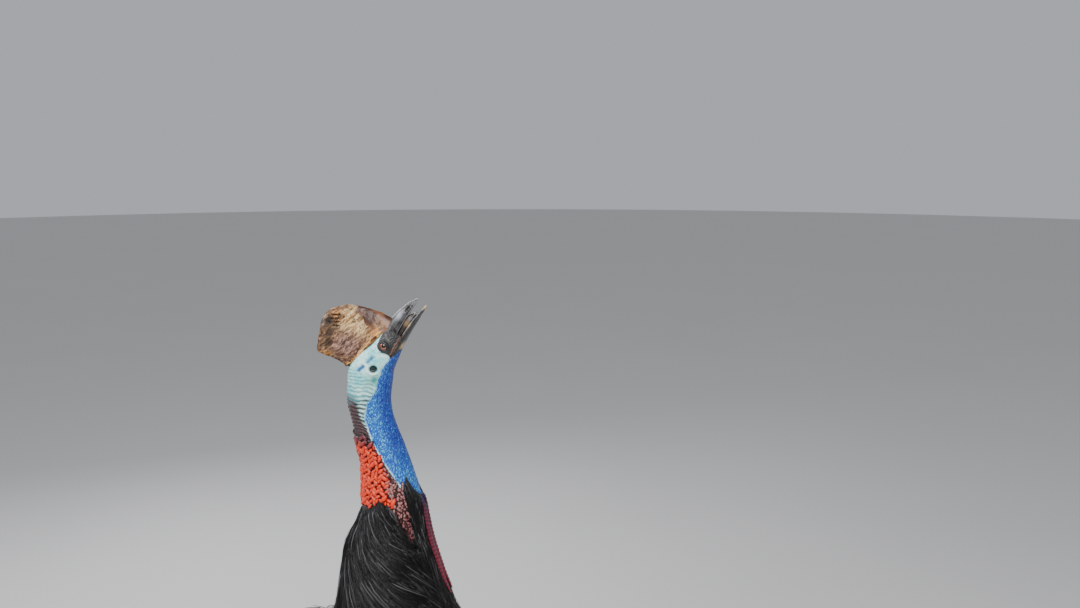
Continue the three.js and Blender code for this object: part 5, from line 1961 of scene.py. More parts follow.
@dataclass
class Wattle:
    """One of two limp lobes from the foot of the bare throat, which lie on the breast's feathers.

    Attributes:
        side: Which lobe.
        length: How long it hangs.
        wide: Its greatest width.
        thick: Its thickness.
        apart: How far from the middle its root stands.
        spread: How much farther its tip stands.
        root: The root's height.
    """

    side: Side
    length: float = 234.0
    wide: float = 21.0
    thick: float = 9.0
    apart: float = 10.6
    spread: float = 1.0
    root: float = 1290.0

    def build(self, neck: Neck, finish: Material) -> None:
        """Rings down the breast, wrinkled across and creased down the middle.

        Args:
            neck: What it hangs on.
            finish: Its material.
        """
        share, turn = lattice(np.linspace(0, 1, 110), 40)
        z = self.root - self.length * 0.945 * share[:, :1]
        sway = 0.5 * np.sin(share[:, :1] * 9 + self.side.value)
        reach = (self.apart + self.spread * share[:, :1] + sway) / neck.sizes("wide", z)
        angle = self.side.value * np.arcsin(reach)
        flare = (neck.sizes("front", z - 10) - neck.sizes("front", z + 10)) / 20
        out = unit(np.concatenate([np.cos(angle), np.sin(angle), flare], -1))
        down = unit(np.concatenate([flare, 0 * z, 0 * z - 1], -1))
        across = unit(np.cross(down, out))
        lift = 1.5 + 0.55 * neck.sizes("coat", z) - 10 * (1 - smooth(share[:, :1], 0, 0.06))
        middle = neck.at(z, angle)[:, 0] + out * lift
        swell = np.sin(math.pi * np.minimum(1, 0.25 + share * 0.735)) ** 0.5
        half_wide = self.wide / 2 * (0.5 + 0.5 * smooth(share, 0, 0.75)) * swell
        half_thick = self.thick / 2 * swell
        place = np.stack([share * self.length, np.cos(turn) * half_wide, np.sin(turn) * 6], -1)
        rib = 0.5 + 0.5 * np.cos(share * 236 / 5.4 * 2 * math.pi / 1.6 + 2.2 * noise(place, 12, 91))
        crease = hump(np.cos(turn), -0.15, 0.2) * np.maximum(np.sin(turn), 0)
        fold = np.clip(rib * (1 - crease), 0, 1)
        half_thick = half_thick * (0.72 + 0.42 * fold)
        half_wide = half_wide * (1 + 0.10 * noise(place * [1, 0, 0], 11, 93))
        offset = across[:, None] * (half_wide * np.cos(turn))[..., None]
        rings = middle[:, None] + offset + out[:, None] * (half_thick * np.sin(turn))[..., None]
        name = f"wattle_{self.side.label}"
        shell = tube(rings, {"down": share, "fold": fold})
        shell.install(name.replace("_", "_lobe_"), finish, "wattle_skin", name)


@dataclass
class Caruncles:
    """Warty lumps: red ones braided down the nape and small mauve ones beside and below them.

    Attributes:
        neck: What they sit on.
        pitch: Spacing of the large lumps.
        long: Half length of a large lump.
        wide: Half width.
        high: How far it stands off the skin.
    """

    neck: Neck
    pitch: float = 10.4
    long: float = 9.4
    wide: float = 5.0
    high: float = 6.0

    def lumps(
        self, x: Array, z: Array, side: Array, sizes: Array, tilt: Array, kinds: dict[str, Array]
    ) -> Shell:
        """Ellipsoids that sit on the neck, roughened by noise.

        Args:
            x: Where each lump sits, along x.
            z: Its height.
            side: The sign of its side.
            sizes: Half length, half width and height of each.
            tilt: How far its length leans from upright, round the outward direction.
            kinds: Values that every point of a lump keeps.

        Returns:
            All the lumps in one shell.
        """
        cosine = (x - self.neck.middle(z)) / self.neck.half_depth(z)
        angle = np.arccos(np.clip(cosine, -1, 1)) * side
        middle = self.neck.at(z, angle)
        out = self.neck.outward(middle)
        upright = unit(np.array([0.0, 0.0, 1.0]) - out[:, 2:] * out)
        beside = np.cross(out, upright)
        length = upright * np.cos(tilt)[:, None] + beside * np.sin(tilt)[:, None]
        width = np.cross(out, length)
        polar, turn = lattice(np.linspace(0.14, math.pi - 0.14, 7), 9)
        along = -np.cos(polar)[None] * sizes[:, 0, None, None]
        over = (np.sin(polar) * np.sin(turn))[None] * sizes[:, 2, None, None]
        across = (np.sin(polar) * np.cos(turn))[None] * sizes[:, 1, None, None]
        spread_out = along[..., None] * length[:, None, None] + across[..., None] * width[:, None, None]
        rings = middle[:, None, None] + spread_out + over[..., None] * out[:, None, None]
        rough = 1 + 0.2 * noise(rings, 4.5, 101)[..., None]
        rings = middle[:, None, None] + (rings - middle[:, None, None]) * rough
        # The height over the skin: the finish paints the foot of each lump dark as shade.
        crown = np.clip(over / sizes[:, 2, None, None], 0, 1) ** 0.8
        values = {"crown": crown} | {name: numbers[:, None, None] for name, numbers in kinds.items()}
        return tubes(rings, values)

    def nape(self) -> Shell:
        """Large lumps, braided at random, over the red skin, and small mauve ones beside the blue.

        Returns:
            Both sides' lumps.
        """
        draw = np.random.default_rng(11)
        shells = []
        for side in (-1, 1):
            row, column = np.meshgrid(np.arange(17), np.arange(17), indexing="ij")
            many = row.shape
            z = -176 - row * self.pitch + draw.uniform(-2.4, 2.4, many) - (column % 2) * self.pitch / 2
            height = z + HEAD_HEIGHT
            girth = (self.neck.half_depth(height) + self.neck.half_width(height)) / 2
            turn = (column + 0.3 + draw.uniform(-0.2, 0.2, many)) * 7.4 / girth
            x = self.neck.middle(height) - self.neck.half_depth(height) * np.cos(turn)
            spot = np.stack([x, 0 * x, height], -1)
            edge = -Skin.blue_edge(spot)
            room = np.minimum(edge, -Skin.feather_line(spot) + 4)
            low_end = np.where(x > 24, -290, -318)
            keep = (room > 0.5) & (Skin.strip(spot) < 4) & (z > low_end) & (turn < 2.7)
            keep = keep & (-z > 180 + draw.uniform(-7, 7, many))
            x, z, edge, room, column = x[keep], z[keep], edge[keep], room[keep], column[keep]
            off_red = edge - np.interp(-z, [218, 228, 241, 258, 281, 300], [-9, 1, 8, 15, 27, 33])
            beside = 1 - smooth(off_red, -4, 4)
            size = (0.62 + 0.38 * smooth(room, -2, 14)) * draw.uniform(0.72, 1.22, len(x))
            size = size * (1 - 0.34 * beside)
            sizes = np.stack([self.long * size, self.wide * size, self.high * size], -1)
            tilt = side * np.where(column % 2, 0.8, -0.65) + draw.normal(0, 0.25, len(x))
            kinds = {"mauve": beside, "brown": 1 - smooth(-z + 0.1 * edge, 188, 206)}
            shells.append(self.lumps(x, z + HEAD_HEIGHT, np.full(len(x), side), sizes, tilt, kinds))
        return joined(shells)

    def strips(self) -> Shell:
        """Small lumps, set at random down the strip on each side, darker towards its foot.

        Returns:
            Both sides' lumps.
        """
        draw = np.random.default_rng(23)
        share, lane = np.meshgrid(np.linspace(-0.12, 1.04, 21), np.linspace(-1, 1, 5), indexing="ij")
        share = (share + draw.uniform(-0.028, 0.028, share.shape)).ravel()
        lane = np.clip(lane.ravel() + draw.uniform(-0.16, 0.16, lane.size), -1.05, 1.05)
        room = 13 - 4.5 * share
        x = 27 + 24 * share + lane * room * 0.97
        z = HEAD_HEIGHT - 286 - 97 * share + lane * room * 0.24
        shells = []
        for side in (-1, 1):
            size = draw.uniform(0.6, 1.25, len(x)) * (1.08 - 0.3 * share)
            sizes = np.stack([4.9 * size, 3.3 * size, 3.6 * size], -1)
            tilt = draw.normal(-0.2, 0.6, len(x)) * side
            dark = smooth(share + draw.uniform(-0.2, 0.2, len(x)), 0.35, 0.9)
            kinds = {"mauve": np.ones(len(x)), "brown": 0.8 * dark}
            jitter = draw.uniform(-1.2, 1.2, (2, len(x)))
            shells.append(self.lumps(x + jitter[0], z + jitter[1], np.full(len(x), side), sizes, tilt, kinds))
        return joined(shells)

    def build(self, finish: Material) -> None:
        """Makes all the lumps as one piece."""
        joined([self.nape(), self.strips()]).install("caruncles", finish, "nape_skin")


# Feathers


@dataclass
class Strands:
    """Paths that leave the skin, follow it, and droop.

    Attributes:
        roots: Where each path leaves the skin.
        lie: The way it sets off.
        length: Its length.
        lift: How far over the skin its end is kept.
        droop: How much it turns down at each step.
        sweep: How much it turns forward at each step.
        steps: How many steps each path has.
        cling: The share of its distance off its place over the skin that it gives up at each step.
    """

    roots: Array
    lie: Array
    length: Array
    lift: Array
    droop: Array
    sweep: Array
    steps: int = 8
    cling: float = 0.55

    def paths(self, flesh: Form) -> tuple[Array, Array]:
        """Walks every path at once.

        At each step a point goes on in its heading. Where it comes nearer to the skin than it should,
        it is pushed out, and where it is farther off and not under an overhang, it is drawn part of
        the way in. The next heading is the step really made, turned down and forward.

        Args:
            flesh: The form that they follow.

        Returns:
            Points and outward directions, by path and step.
        """
        at = self.roots
        out = flesh.outward(at)
        heading = self.lie - np.sum(self.lie * out, axis=-1, keepdims=True) * out
        heading = unit(heading)
        points, outs = [at - 3.0 * out], [out]
        for i in range(1, self.steps + 1):
            following = at + heading * (self.length / self.steps)[:, None]
            out = flesh.outward(following)
            wanted = self.lift * (0.2 + 0.8 * min(1.0, i / (0.55 * self.steps)))
            short = wanted - flesh.distance(following)
            cling = self.cling * (1 - smooth(-out[:, 2], 0.3, 0.9))
            following = following + out * np.where(short > 0, short, cling * short)[:, None]
            heading = unit(following - at) + DOWNWARD * self.droop[:, None]
            heading = unit(heading + np.array([1.0, 0.0, 0.15]) * self.sweep[:, None])
            points.append(following)
            outs.append(out)
            at = following
        return np.stack(points, 1), np.stack(outs, 1)


@dataclass
class Tufts:
    """Tufts of slim tapered strands that gather along shared paths.

    Attributes:
        each: Strands in a tuft.
        shares: Where along a strand its rings lie, the last being the tip.
        widths: The share of the full width at each ring.
        patch: The size of a tuft's place on the flat map.
    """

    each: int = 7
    shares: tuple[float, ...] = (0.0, 0.2, 0.42, 0.64, 0.84, 1.0)
    widths: tuple[float, ...] = (0.6, 1.0, 1.0, 0.86, 0.6)
    patch: float = 0.003

    def shell(
        self, points: Array, outs: Array, width: Array, loose: Array, places: Array, seed: int
    ) -> Shell:
        """Spreads each path into a tuft.

        A strand starts beside its tuft's path, keeps its own share of the way in and out, bends to a
        side by the square of its way, and comes back towards the path near its tip.

        Args:
            points: Paths, by tuft and step.
            outs: Outward directions there.
            width: The strands' width in each tuft.
            loose: How far the strands start from the path.
            places: Each tuft's place on the flat map.
            seed: Seed of the draws.

        Returns:
            All the strands in one shell, with their places on the flat map.
        """
        draw = np.random.default_rng(seed)
        many, steps = points.shape[0], points.shape[1] - 1
        reach = draw.uniform(0.72, 1.08, (many, self.each, 1)) * np.array(self.shares)
        place = np.clip(reach, 0, 0.999) * steps
        low = place.astype(int)
        part = (place - low)[..., None]
        tuft = np.arange(many)[:, None, None]
        middle = points[tuft, low] * (1 - part) + points[tuft, low + 1] * part
        beyond = np.maximum(reach - 0.999, 0)[..., None] * steps
        middle = middle + (points[:, -1] - points[:, -2])[:, None, None] * beyond
        out = unit(outs[tuft, low] * (1 - part) + outs[tuft, low + 1] * part)
        ahead = unit(points[tuft, low + 1] - points[tuft, low])
        side = unit(np.cross(out, ahead))
        over = np.cross(ahead, side)
        way = np.array(self.shares)
        start = draw.uniform(-1, 1, (many, self.each, 1)) * loose[:, None, None]
        bend = draw.normal(0, 0.55, (many, self.each, 1)) * loose[:, None, None]
        wave = draw.uniform(0, 2 * math.pi, (many, self.each, 1))
        ripple = 0.10 * loose[:, None, None] * np.sin(wave + way * 7)
        aside = start * (1 - 0.55 * way) + bend * way**2 + ripple
        raised = draw.uniform(-0.5, 0.55, (many, self.each, 1)) * loose[:, None, None] * smooth(way, 0, 0.4)
        back = draw.uniform(-1, 1, (many, self.each, 1)) * loose[:, None, None]
        slid = (back * (1 - way))[..., None]
        middle = middle + side * aside[..., None] + over * raised[..., None] + ahead * slid
        # A strand's tint: the palest strands are painted silvery as highlights, and drawn wider.
        tint = np.clip(draw.uniform(0, 0.25, (many, 1)) + draw.uniform(0, 0.8, (many, self.each)), 0, 1)
        broad = draw.uniform(0.75, 1.25, (many, self.each, 1)) + 0.6 * smooth(tint, 0.8, 0.95)[..., None]
        half = width[:, None, None] * broad * np.array((*self.widths, 0)) / 2
        corners = np.array([[-1.0, 0.0], [1.0, 0.0], [0.0, 0.75]])
        rings = (
            middle[..., None, :]
            + side[..., None, :] * (half[..., None] * corners[:, 0])[..., None]
            + over[..., None, :] * (half[..., None] * corners[:, 1])[..., None]
        )
        rings = rings[:, :, :-1].reshape(many * self.each, len(self.widths), 3, 3)
        tips = middle[:, :, -1].reshape(-1, 3)
        return self.closed(rings, tips, tint.ravel(), places, draw)

    def closed(
        self, rings: Array, tips: Array, tint: Array, places: Array, draw: np.random.Generator
    ) -> Shell:
        """Joins three-cornered rings into closed strands: quads between rings, a point at the tip.

        Args:
            rings: Points, by strand, ring and corner.
            tips: The strands' tips.
            tint: One number a strand.
            places: Each tuft's place on the flat map.
            draw: Gives each strand its own place there.

        Returns:
            All the strands in one shell.
        """
        many, lengths = rings.shape[:2]
        points = np.concatenate([rings.reshape(many, -1, 3), tips[:, None]], axis=1)
        i, j = np.meshgrid(np.arange(lengths - 1), np.arange(3), indexing="ij")
        k = (j + 1) % 3
        quads = np.stack([i * 3 + j, i * 3 + k, i * 3 + 3 + k, i * 3 + 3 + j], -1).reshape(-1, 4)
        last, tip = (lengths - 1) * 3, lengths * 3
        ends = np.array([[2, 1, 0, 0]] + [[last + j, last + (j + 1) % 3, tip, tip] for j in range(3)])
        starts = (np.arange(many) * (tip + 1))[:, None, None]
        faces = (np.concatenate([quads, ends])[None] + starts).reshape(-1, 4)
        way = np.append(np.repeat(np.array(self.shares[:-1]), 3), 1.0)
        values = {"tint": np.repeat(tint, tip + 1), "reach": np.tile(way, many)}
        inside = np.stack([np.tile(way, many), np.repeat(draw.uniform(0, 1, many), tip + 1)], -1) - 0.5
        uv = np.repeat(places, self.each * (tip + 1), axis=0) + inside * self.patch
        return Shell(points.reshape(-1, 3), faces, values, uv).outward()


@dataclass
class Coat:
    """All the feathers: their roots, their lie and the pieces that they are joined into.

    Attributes:
        flesh: What they lie over.
        trunk_tufts: How many tufts grow on the trunk, the neck and the rump.
        thigh_tufts: How many grow on each leg.
    """

    flesh: WholeFlesh
    trunk_tufts: int = 5400
    thigh_tufts: int = 620

    @staticmethod
    def scatter(grid: Array, weight: Array, count: int, seed: int) -> tuple[Array, Array]:
        """Even random places on a grid's faces.

        The faces are laid end to end in a line, each as long as its area times its weight. The line is
        cut into equal lengths and one place is drawn in each.

        Args:
            grid: Rings of points.
            weight: How densely each point's face is set.
            count: How many places are wanted.
            seed: Seed of the draws.

        Returns:
            The points, and their shares of the way along and round the grid.
        """
        draw = np.random.default_rng(seed)
        round_next = np.roll(grid, -1, axis=1)
        area = np.linalg.norm(np.cross(round_next[:-1] - grid[:-1], grid[1:] - grid[:-1]), axis=-1)
        line = np.cumsum((area * weight[:-1]).ravel())
        spots = (np.arange(count) + draw.uniform(0, 1, count)) / count * line[-1]
        face = np.minimum(np.searchsorted(line, spots), len(line) - 1)
        row, column = np.divmod(face, grid.shape[1])
        u, v = draw.uniform(0, 1, (2, count, 1))
        near = grid[row, column] * (1 - v) + round_next[row, column] * v
        far = grid[row + 1, column] * (1 - v) + round_next[row + 1, column] * v
        rows, columns = grid.shape[:2]
        shares = np.stack([(row + u[:, 0]) / (rows - 1), (column + v[:, 0]) / columns], -1)
        return near * (1 - u) + far * u, shares

    def trunk(self, grid: Array, neck: Neck, body: Body) -> None:
        """Grows the feathers of the neck, the trunk and the rump and makes their pieces.

        Args:
            grid: The skin's plain rings.
            neck: The neck's form.
            body: The trunk's form.
        """
        below = Skin.feather_line(grid)
        along, up = body.place(grid)
        high = grid[..., 2]
        on_neck = smooth(high, 1030, 1120)
        weight = np.where(high > 1200, (below > 0.5) * 1.0, 1.0) * (0.24 + 1.5 * on_neck)
        weight = weight * np.where(high > 1330, 0, 1)
        belly = smooth(-(up + 0.15 * np.abs(grid[..., 1])), 110, 190)
        weight = weight * (1 - 0.55 * belly)
        roots, places = self.scatter(grid, weight, self.trunk_tufts, 5)

        out = self.flesh.parts[0].outward(roots)
        on_neck = smooth(roots[:, 2], 1020, 1110)
        sidewise = np.abs(out[:, 1])
        sign = np.where(roots[:, 1] < 0, -1.0, 1.0)
        turned = np.degrees(np.arccos(np.clip(out @ BODY_UP, -1, 1)))
        back = np.interp(turned, [0, 20, 47, 80, 108, 180], [1.15, 1.0, 0.62, 0.42, 0.32, 0.5])
        down = np.interp(turned, [0, 20, 47, 80, 108, 180], [0.15, 0.45, 0.9, 1.1, 1.2, 0.3])
        fall = DOWNWARD + 0.3 * sign[:, None] * LEFTWARD
        fall = unit(fall - np.sum(fall * out, -1, keepdims=True) * out)
        lie_trunk = -BODY_FORWARD * back[:, None] + fall * down[:, None] + DOWNWARD * 0.3
        rearmost = smooth(-roots[:, 0], 440, 520)
        lie_rump = out * np.array([0.70, 0.35, 0.0]) + DOWNWARD
        lie_trunk = lie_trunk * (1 - rearmost)[:, None] + lie_rump * rearmost[:, None]
        ahead = sidewise * (0.25 + 0.75 * smooth(1300 - roots[:, 2], 20, 110))
        ahead = ahead * smooth(0.8 - out[:, 0], 0, 0.5)
        lie_neck = np.stack([1.15 * ahead, 0.05 * sign, -1 + 0 * sign], -1)
        lie = lie_trunk * (1 - on_neck)[:, None] + lie_neck * on_neck[:, None]
        lie = unit(lie) + 0.10 * np.random.default_rng(6).normal(0, 1, lie.shape)

        below = np.where(roots[:, 2] > 1180, Skin.feather_line(roots), 200)
        length = 205 * (1 - on_neck) + 135 * on_neck
        length = length * (0.30 + 0.70 * smooth(below, 0, 70))
        length = length * (1 - 0.35 * smooth(turned, 115, 160)) * (1 - 0.12 * rearmost)
        over_back = smooth(out[:, 2], 0.4, 0.8) * smooth(-roots[:, 0], 20, 110)
        at_nape = smooth(-out[:, 0], 0.1, 0.6) * smooth(1160 - roots[:, 2], 0, 80)
        raised = np.maximum(neck.sizes("coat", roots[:, 2]), 3.5) * (1 - 0.6 * at_nape)
        lift = (29 - 23 * over_back) * (1 - on_neck) + raised * on_neck
        chance = np.random.default_rng(8).uniform(0, 1, len(roots))
        flank = 5 * smooth(sidewise, 0.85, 0.97) * (1 - on_neck)
        lift = lift * (0.45 + 0.6 * chance) * (1 - 0.2 * on_neck) + flank
        breast = smooth(out @ BODY_FORWARD, 0.1, 0.6)
        in_front = smooth(out[:, 0], 0.3, 0.75) * smooth(1200 - roots[:, 2], 0, 70)
        droop = (0.115 + 0.34 * breast) * (1 - on_neck) + (0.03 + 0.36 * in_front) * on_neck
        high_breast = breast * smooth(roots[:, 2], 900, 1000) * (1 - on_neck)
        length = length * (1 - 0.35 * in_front * on_neck - 0.25 * high_breast)
        lift = lift * (1 - 0.35 * np.maximum(in_front * on_neck, breast * (1 - on_neck)))
        sweep = 0.11 * on_neck * sidewise
        strands = Strands(roots, lie, length, lift, droop, sweep)
        points, outs = strands.paths(self.flesh)
        width = 2.7 * (1 - on_neck) + 1.15 * on_neck
        loose = (12.5 - 5.5 * over_back) * (1 - on_neck) + 5.0 * on_neck
        names = ("collar", "hackle", "mantle", "shoulder", "back", "loin", "rump")
        order = np.argsort(places[:, 0], kind="stable")
        flat = np.stack([0.02 + 0.74 * places[:, 0], 0.02 + 0.96 * places[:, 1]], -1)
        for i, chosen in enumerate(np.array_split(order, len(names))):
            own = (kept[chosen] for kept in (points, outs, width, loose, flat))
            Tufts().shell(*own, 70 + i).install(f"plumage_{names[i]}", PLUMAGE, "plumage")

    def leg(self, side: Side) -> None:
        """Grows the feathers of one thigh, down to the hock.

        Args:
            side: Which leg.
        """
        thigh = Thigh(side)
        share, angle = lattice(np.linspace(-0.18, 0.93, 60), 60)
        grid = thigh.at(share, angle)
        weight = 1.0 + 1.2 * smooth(share, 0.5, 0.9)
        weight = weight * (self.flesh.parts[0].distance(grid) > -22)
        roots, places = self.scatter(grid, weight, self.thigh_tufts, 50 + side.value)
        share = -0.18 + 1.11 * places[:, 0]
        lie = thigh.ahead + 0.25 * DOWNWARD + 0.12 * np.random.default_rng(9).normal(0, 1, roots.shape)
        low = smooth(share, 0.45, 0.93)
        length = 135 - 85 * low
        lift = (11 - 6 * low) * np.random.default_rng(10).uniform(0.5, 1.2, len(roots))
        even = np.ones(len(roots))
        points, outs = Strands(roots, lie, length, lift, 0.02 * even, 0 * even).paths(self.flesh)
        top = 0.80 if side is Side.LEFT else 0.90
        flat = np.stack([top + 0.08 * places[:, 1], 0.02 + 0.96 * places[:, 0]], -1)
        shell = Tufts().shell(points, outs, 2.3 - 0.8 * low, 8.0 - 3.5 * low, flat, 90 + side.value)
        shell.install(f"plumage_leg_{side.label}", PLUMAGE, "plumage")


# Wings


@dataclass
class Wing:
    """A stub on the flank, with bare quills in place of flight feathers.

    Attributes:
        side: Which wing.
        along: Where its root lies along the trunk.
        angle: How far its root lies round from the back.
        length: The stub's length.
        radius: Its half width at the root.
        quills: How many quills it bears.
        quill_radius: A quill's radius at its root.
    """

    side: Side
    along: float = 92.0
    angle: float = math.radians(66)
    length: float = 105.0
    radius: float = 17.0
    quills: int = 5
    quill_radius: float = 3.2

    def build(self, flesh: WholeFlesh, body: Body, finish: Material) -> None:
        """Makes the stub and its quills as one piece.

        Args:
            flesh: What it lies on.
            body: The form that its root is placed by.
            finish: Its material.
        """
        root = body.at(np.array([self.along]), np.array([self.angle * self.side.value]))
        lie = (-0.72 * BODY_FORWARD + 0.62 * DOWNWARD)[None]
        one = np.ones(1)
        arm, out = Strands(root, lie, self.length * one, 7 * one, 0.03 * one, 0 * one, 20).paths(flesh)
        taper = self.radius * (1 - 0.6 * np.linspace(0, 1, 21))[:, None] * np.ones(1)
        stub = self.rod(arm, out, taper.T, 24, 0.5)
        share = np.linspace(0, 1, self.quills)
        roots = arm[0, np.round(10 + 9 * share).astype(int)]
        fan = lie + DOWNWARD * (1.1 - 1.5 * share)[:, None]
        length = 300 - 62 * np.abs(share - 0.4)
        even = np.ones(self.quills)
        points, outs = Strands(roots, fan, length, 36 * even, 0.036 * even, 0 * even, 26).paths(flesh)
        size = self.quill_radius * (1 - 0.55 * np.linspace(0, 1, 27) ** 1.4) * even[:, None]
        rods = self.rod(points, outs, size, 10, 1.0)
        label = self.side.label
        joined([stub, rods]).install(f"wing_quills_{label}", finish, "quill_horn", f"wing_{label}")

    @staticmethod
    def rod(points: Array, outs: Array, size: Array, sides: int, flat: float) -> Shell:
        """Closed rods along paths: rings of a given half width, pressed flat by a share.

        Args:
            points: Paths, by rod and step.
            outs: Outward directions there.
            size: Half widths there.
            sides: Points round a ring.
            flat: Depth as a share of width.

        Returns:
            All the rods in one shell.
        """
        ahead = unit(np.gradient(points, axis=1))
        across = unit(np.cross(outs, ahead))
        over = np.cross(ahead, across)
        turn = turns(sides)
        wide = (size[..., None] * np.cos(turn))[..., None] * across[:, :, None]
        high = (size[..., None] * np.sin(turn) * flat)[..., None] * over[:, :, None]
        return tubes(points[:, :, None] + wide + high)


# Legs and feet


@dataclass(frozen=True)
class ToeSize:
    """One toe's sizes: its turn from straight ahead, its length and radius, and those of its claw.

    Attributes:
        turn: Degrees from straight ahead, positive to the outside.
        length: The toe's length.
        radius: Its radius.
        claw: The claw's length.
        claw_radius: The claw's radius at its root.
        droop: How far the claw's tip lies under its root.
    """

    turn: float
    length: float
    radius: float
    claw: float
    claw_radius: float
    droop: float


class Toe(Enum):
    """The three toes. The inner one bears the long dagger."""

    INNER = ToeSize(-27, 102, 16.5, 112, 11, 10)
    MIDDLE = ToeSize(2, 172, 19, 40, 10, 9)
    OUTER = ToeSize(31, 118, 16, 33, 8.5, 8)

    @property
    def label(self) -> str:
        """The toe's name as the nodes spell it."""
        return self.name.lower()


@dataclass
class Foot:
    """A bare shank with scutes in front, its pad, three toes and their claws.

    Attributes:
        side: Which foot.
        scute: The spacing of the shank's scutes.
        toe_scute: The spacing of the toes' scutes.
        knuckle: The spacing of the toes' joints.
        pad: The radius of the pad under the toes' roots.
    """

    side: Side
    scute: float = 15.0
    toe_scute: float = 9.0
    knuckle: float = 42.0
    pad: float = 34.0

    @property
    def leg(self) -> Leg:
        """The leg that it stands under."""
        return Leg(self.side)

    @staticmethod
    def shingle(way: Array, pitch: float) -> tuple[Array, Array]:
        """Overlapping plates: a height that rises along each pitch and drops at its end, and the seam.

        Args:
            way: Distances along the scales.
            pitch: Their spacing.

        Returns:
            The height and the seam, from 0 to 1.
        """
        part = way / pitch - np.floor(way / pitch)
        return between(part, 0, 0.75, 0.88, 1), hump(part, 0.97, 0.07) + hump(part, -0.03, 0.07)

    def shank(self, finish: Material) -> None:
        """The hock's swelling, the tarsus with its scutes, and the pad.

        Args:
            finish: Its material.
        """
        leg = self.leg
        folding, ahead = unit(leg.hock - leg.knee), unit(leg.sole - leg.hock)
        stations = [
            (leg.knee + 0.90 * (leg.hock - leg.knee), folding, 25, 24),
            (leg.knee + 0.97 * (leg.hock - leg.knee), unit(folding + ahead), 30, 27),
            (leg.hock + 0.02 * (leg.sole - leg.hock), unit(folding + 1.5 * ahead), 34, 29),
        ]
        shares = [
            (0.10, 30, 26), (0.16, 26, 24), (0.30, 23, 21.2), (0.75, 22, 20.2), (0.92, 26, 24), (1.0, 26, 24),
        ]
        stations += [(leg.hock + share * (leg.sole - leg.hock), ahead, *size) for share, *size in shares]
        away = np.array([float(np.linalg.norm(b[0] - a[0])) for a, b in zip(stations, stations[1:])])
        way = np.concatenate([[0.0], np.cumsum(away)])
        rows = [(place, *spot, *turn, deep, wide) for place, (spot, turn, deep, wide) in zip(way, stations)]
        sizes = Stations("x y z tx ty tz deep wide", rows)
        at, angle = lattice(np.linspace(0, way[-1], 190), 56)
        middle = np.stack([sizes(axis, at) for axis in "xyz"], -1)
        turned = unit(np.stack([sizes("t" + axis, at) for axis in "xyz"], -1))
        over = unit(np.cross(turned, LEFTWARD))
        front = smooth(-np.cos(angle), 0.15, 0.55)
        plate, seam = self.shingle(at, self.scute)
        small, _ = self.shingle(at + 5 * np.sin(angle * 7), 7.0)
        relief = front * (2.0 * plate - 0.9) + (1 - front) * 0.5 * small
        rough = 0.5 * layered_noise(middle + 20 * np.cos(angle)[..., None], 18, 111)
        relief = relief * smooth(at, 20, 60) + rough
        deep = (sizes("deep", at) + relief) * np.cos(angle)
        wide = (sizes("wide", at) + relief * 0.8) * np.sin(angle)
        rings = middle + deep[..., None] * over + wide[..., None] * LEFTWARD
        rings[..., 2] = np.maximum(rings[..., 2], 1.0)
        ready = smooth(at, 30, 60)
        tarsus = tube(rings, {"scute": front * ready, "groove": seam * front * ready * 0.8})
        polar, turn = lattice(np.linspace(0.02, math.pi - 0.02, 40), 56)
        spot = np.stack([polar * 20, np.cos(turn) * 20, np.sin(turn) * 20], -1)
        size = self.pad + 0.7 * noise(spot, 7, 113)
        way = [np.sin(polar) * np.cos(turn) * 1.05, np.sin(polar) * np.sin(turn), np.cos(polar)]
        ball = np.array([leg.sole[0], leg.sole[1], 22.0]) + np.stack(way, -1) * size[..., None]
        ball[..., 2] = np.maximum(ball[..., 2], 0.0)
        label = self.side.label
        foot = joined([tarsus, tube(ball, {"scute": 0 * polar, "groove": 0 * polar})])
        foot.install(f"tarsus_{label}", finish, "leg_scale", f"shank_{label}")

    def frame(self, toe: Toe) -> tuple[Array, Array, Array]:
        """The toe's own start and its forward and sideways directions.

        Args:
            toe: Which toe.

        Returns:
            A point on the floor and two unit vectors.
        """
        turn = math.radians(toe.value.turn) * self.side.value
        forward = np.array([math.cos(turn), math.sin(turn), 0.0])
        across = np.array([-math.sin(turn), math.cos(turn), 0.0])
        return self.leg.sole * [1, 1, 0] + forward * 12, forward, across

    def toe(self, toe: Toe, finish: Material) -> None:
        """A toe: swollen at each joint, with scutes over the top and a flat, pebbled sole.

        Args:
            toe: Which toe.
            finish: Its material.
        """
        start, forward, across = self.frame(toe)
        size = toe.value
        rows = int(size.length / 1.5)
        far, angle = lattice(np.linspace(0, size.length, rows), 44)
        share = far / size.length
        joint = np.cos(far / self.knuckle * 2 * math.pi)
        girth = size.radius * (1.12 - 0.3 * share) * (1 + 0.07 * joint)
        girth = girth * np.sqrt(np.clip(1 - ((share - 0.86) / 0.16) ** 2 * (share > 0.86), 0.16, 1))
        top = smooth(np.cos(angle), 0.05, 0.5)
        plate, seam = self.shingle(far, self.toe_scute)
        pebble = 0.5 * layered_noise(np.stack([far, 14 * np.cos(angle), 14 * np.sin(angle)], -1), 5, 117)
        relief = top * (1.5 * plate - 0.6) + (1 - top) * pebble
        half = (girth + relief * 0.5) * np.sin(angle)
        high = girth * 0.78 + (girth * 0.95 + relief) * np.cos(angle) + 8 * (1 - share)
        rings = start + far[..., None] * forward + half[..., None] * across
        rings[..., 2] = np.maximum(high, 0.0)
        name = f"toe_{toe.label}_{self.side.label}"
        shell = tube(rings, {"scute": top, "groove": seam * top * 0.85})
        shell.install(f"scaled_{name}", finish, "leg_scale", name)

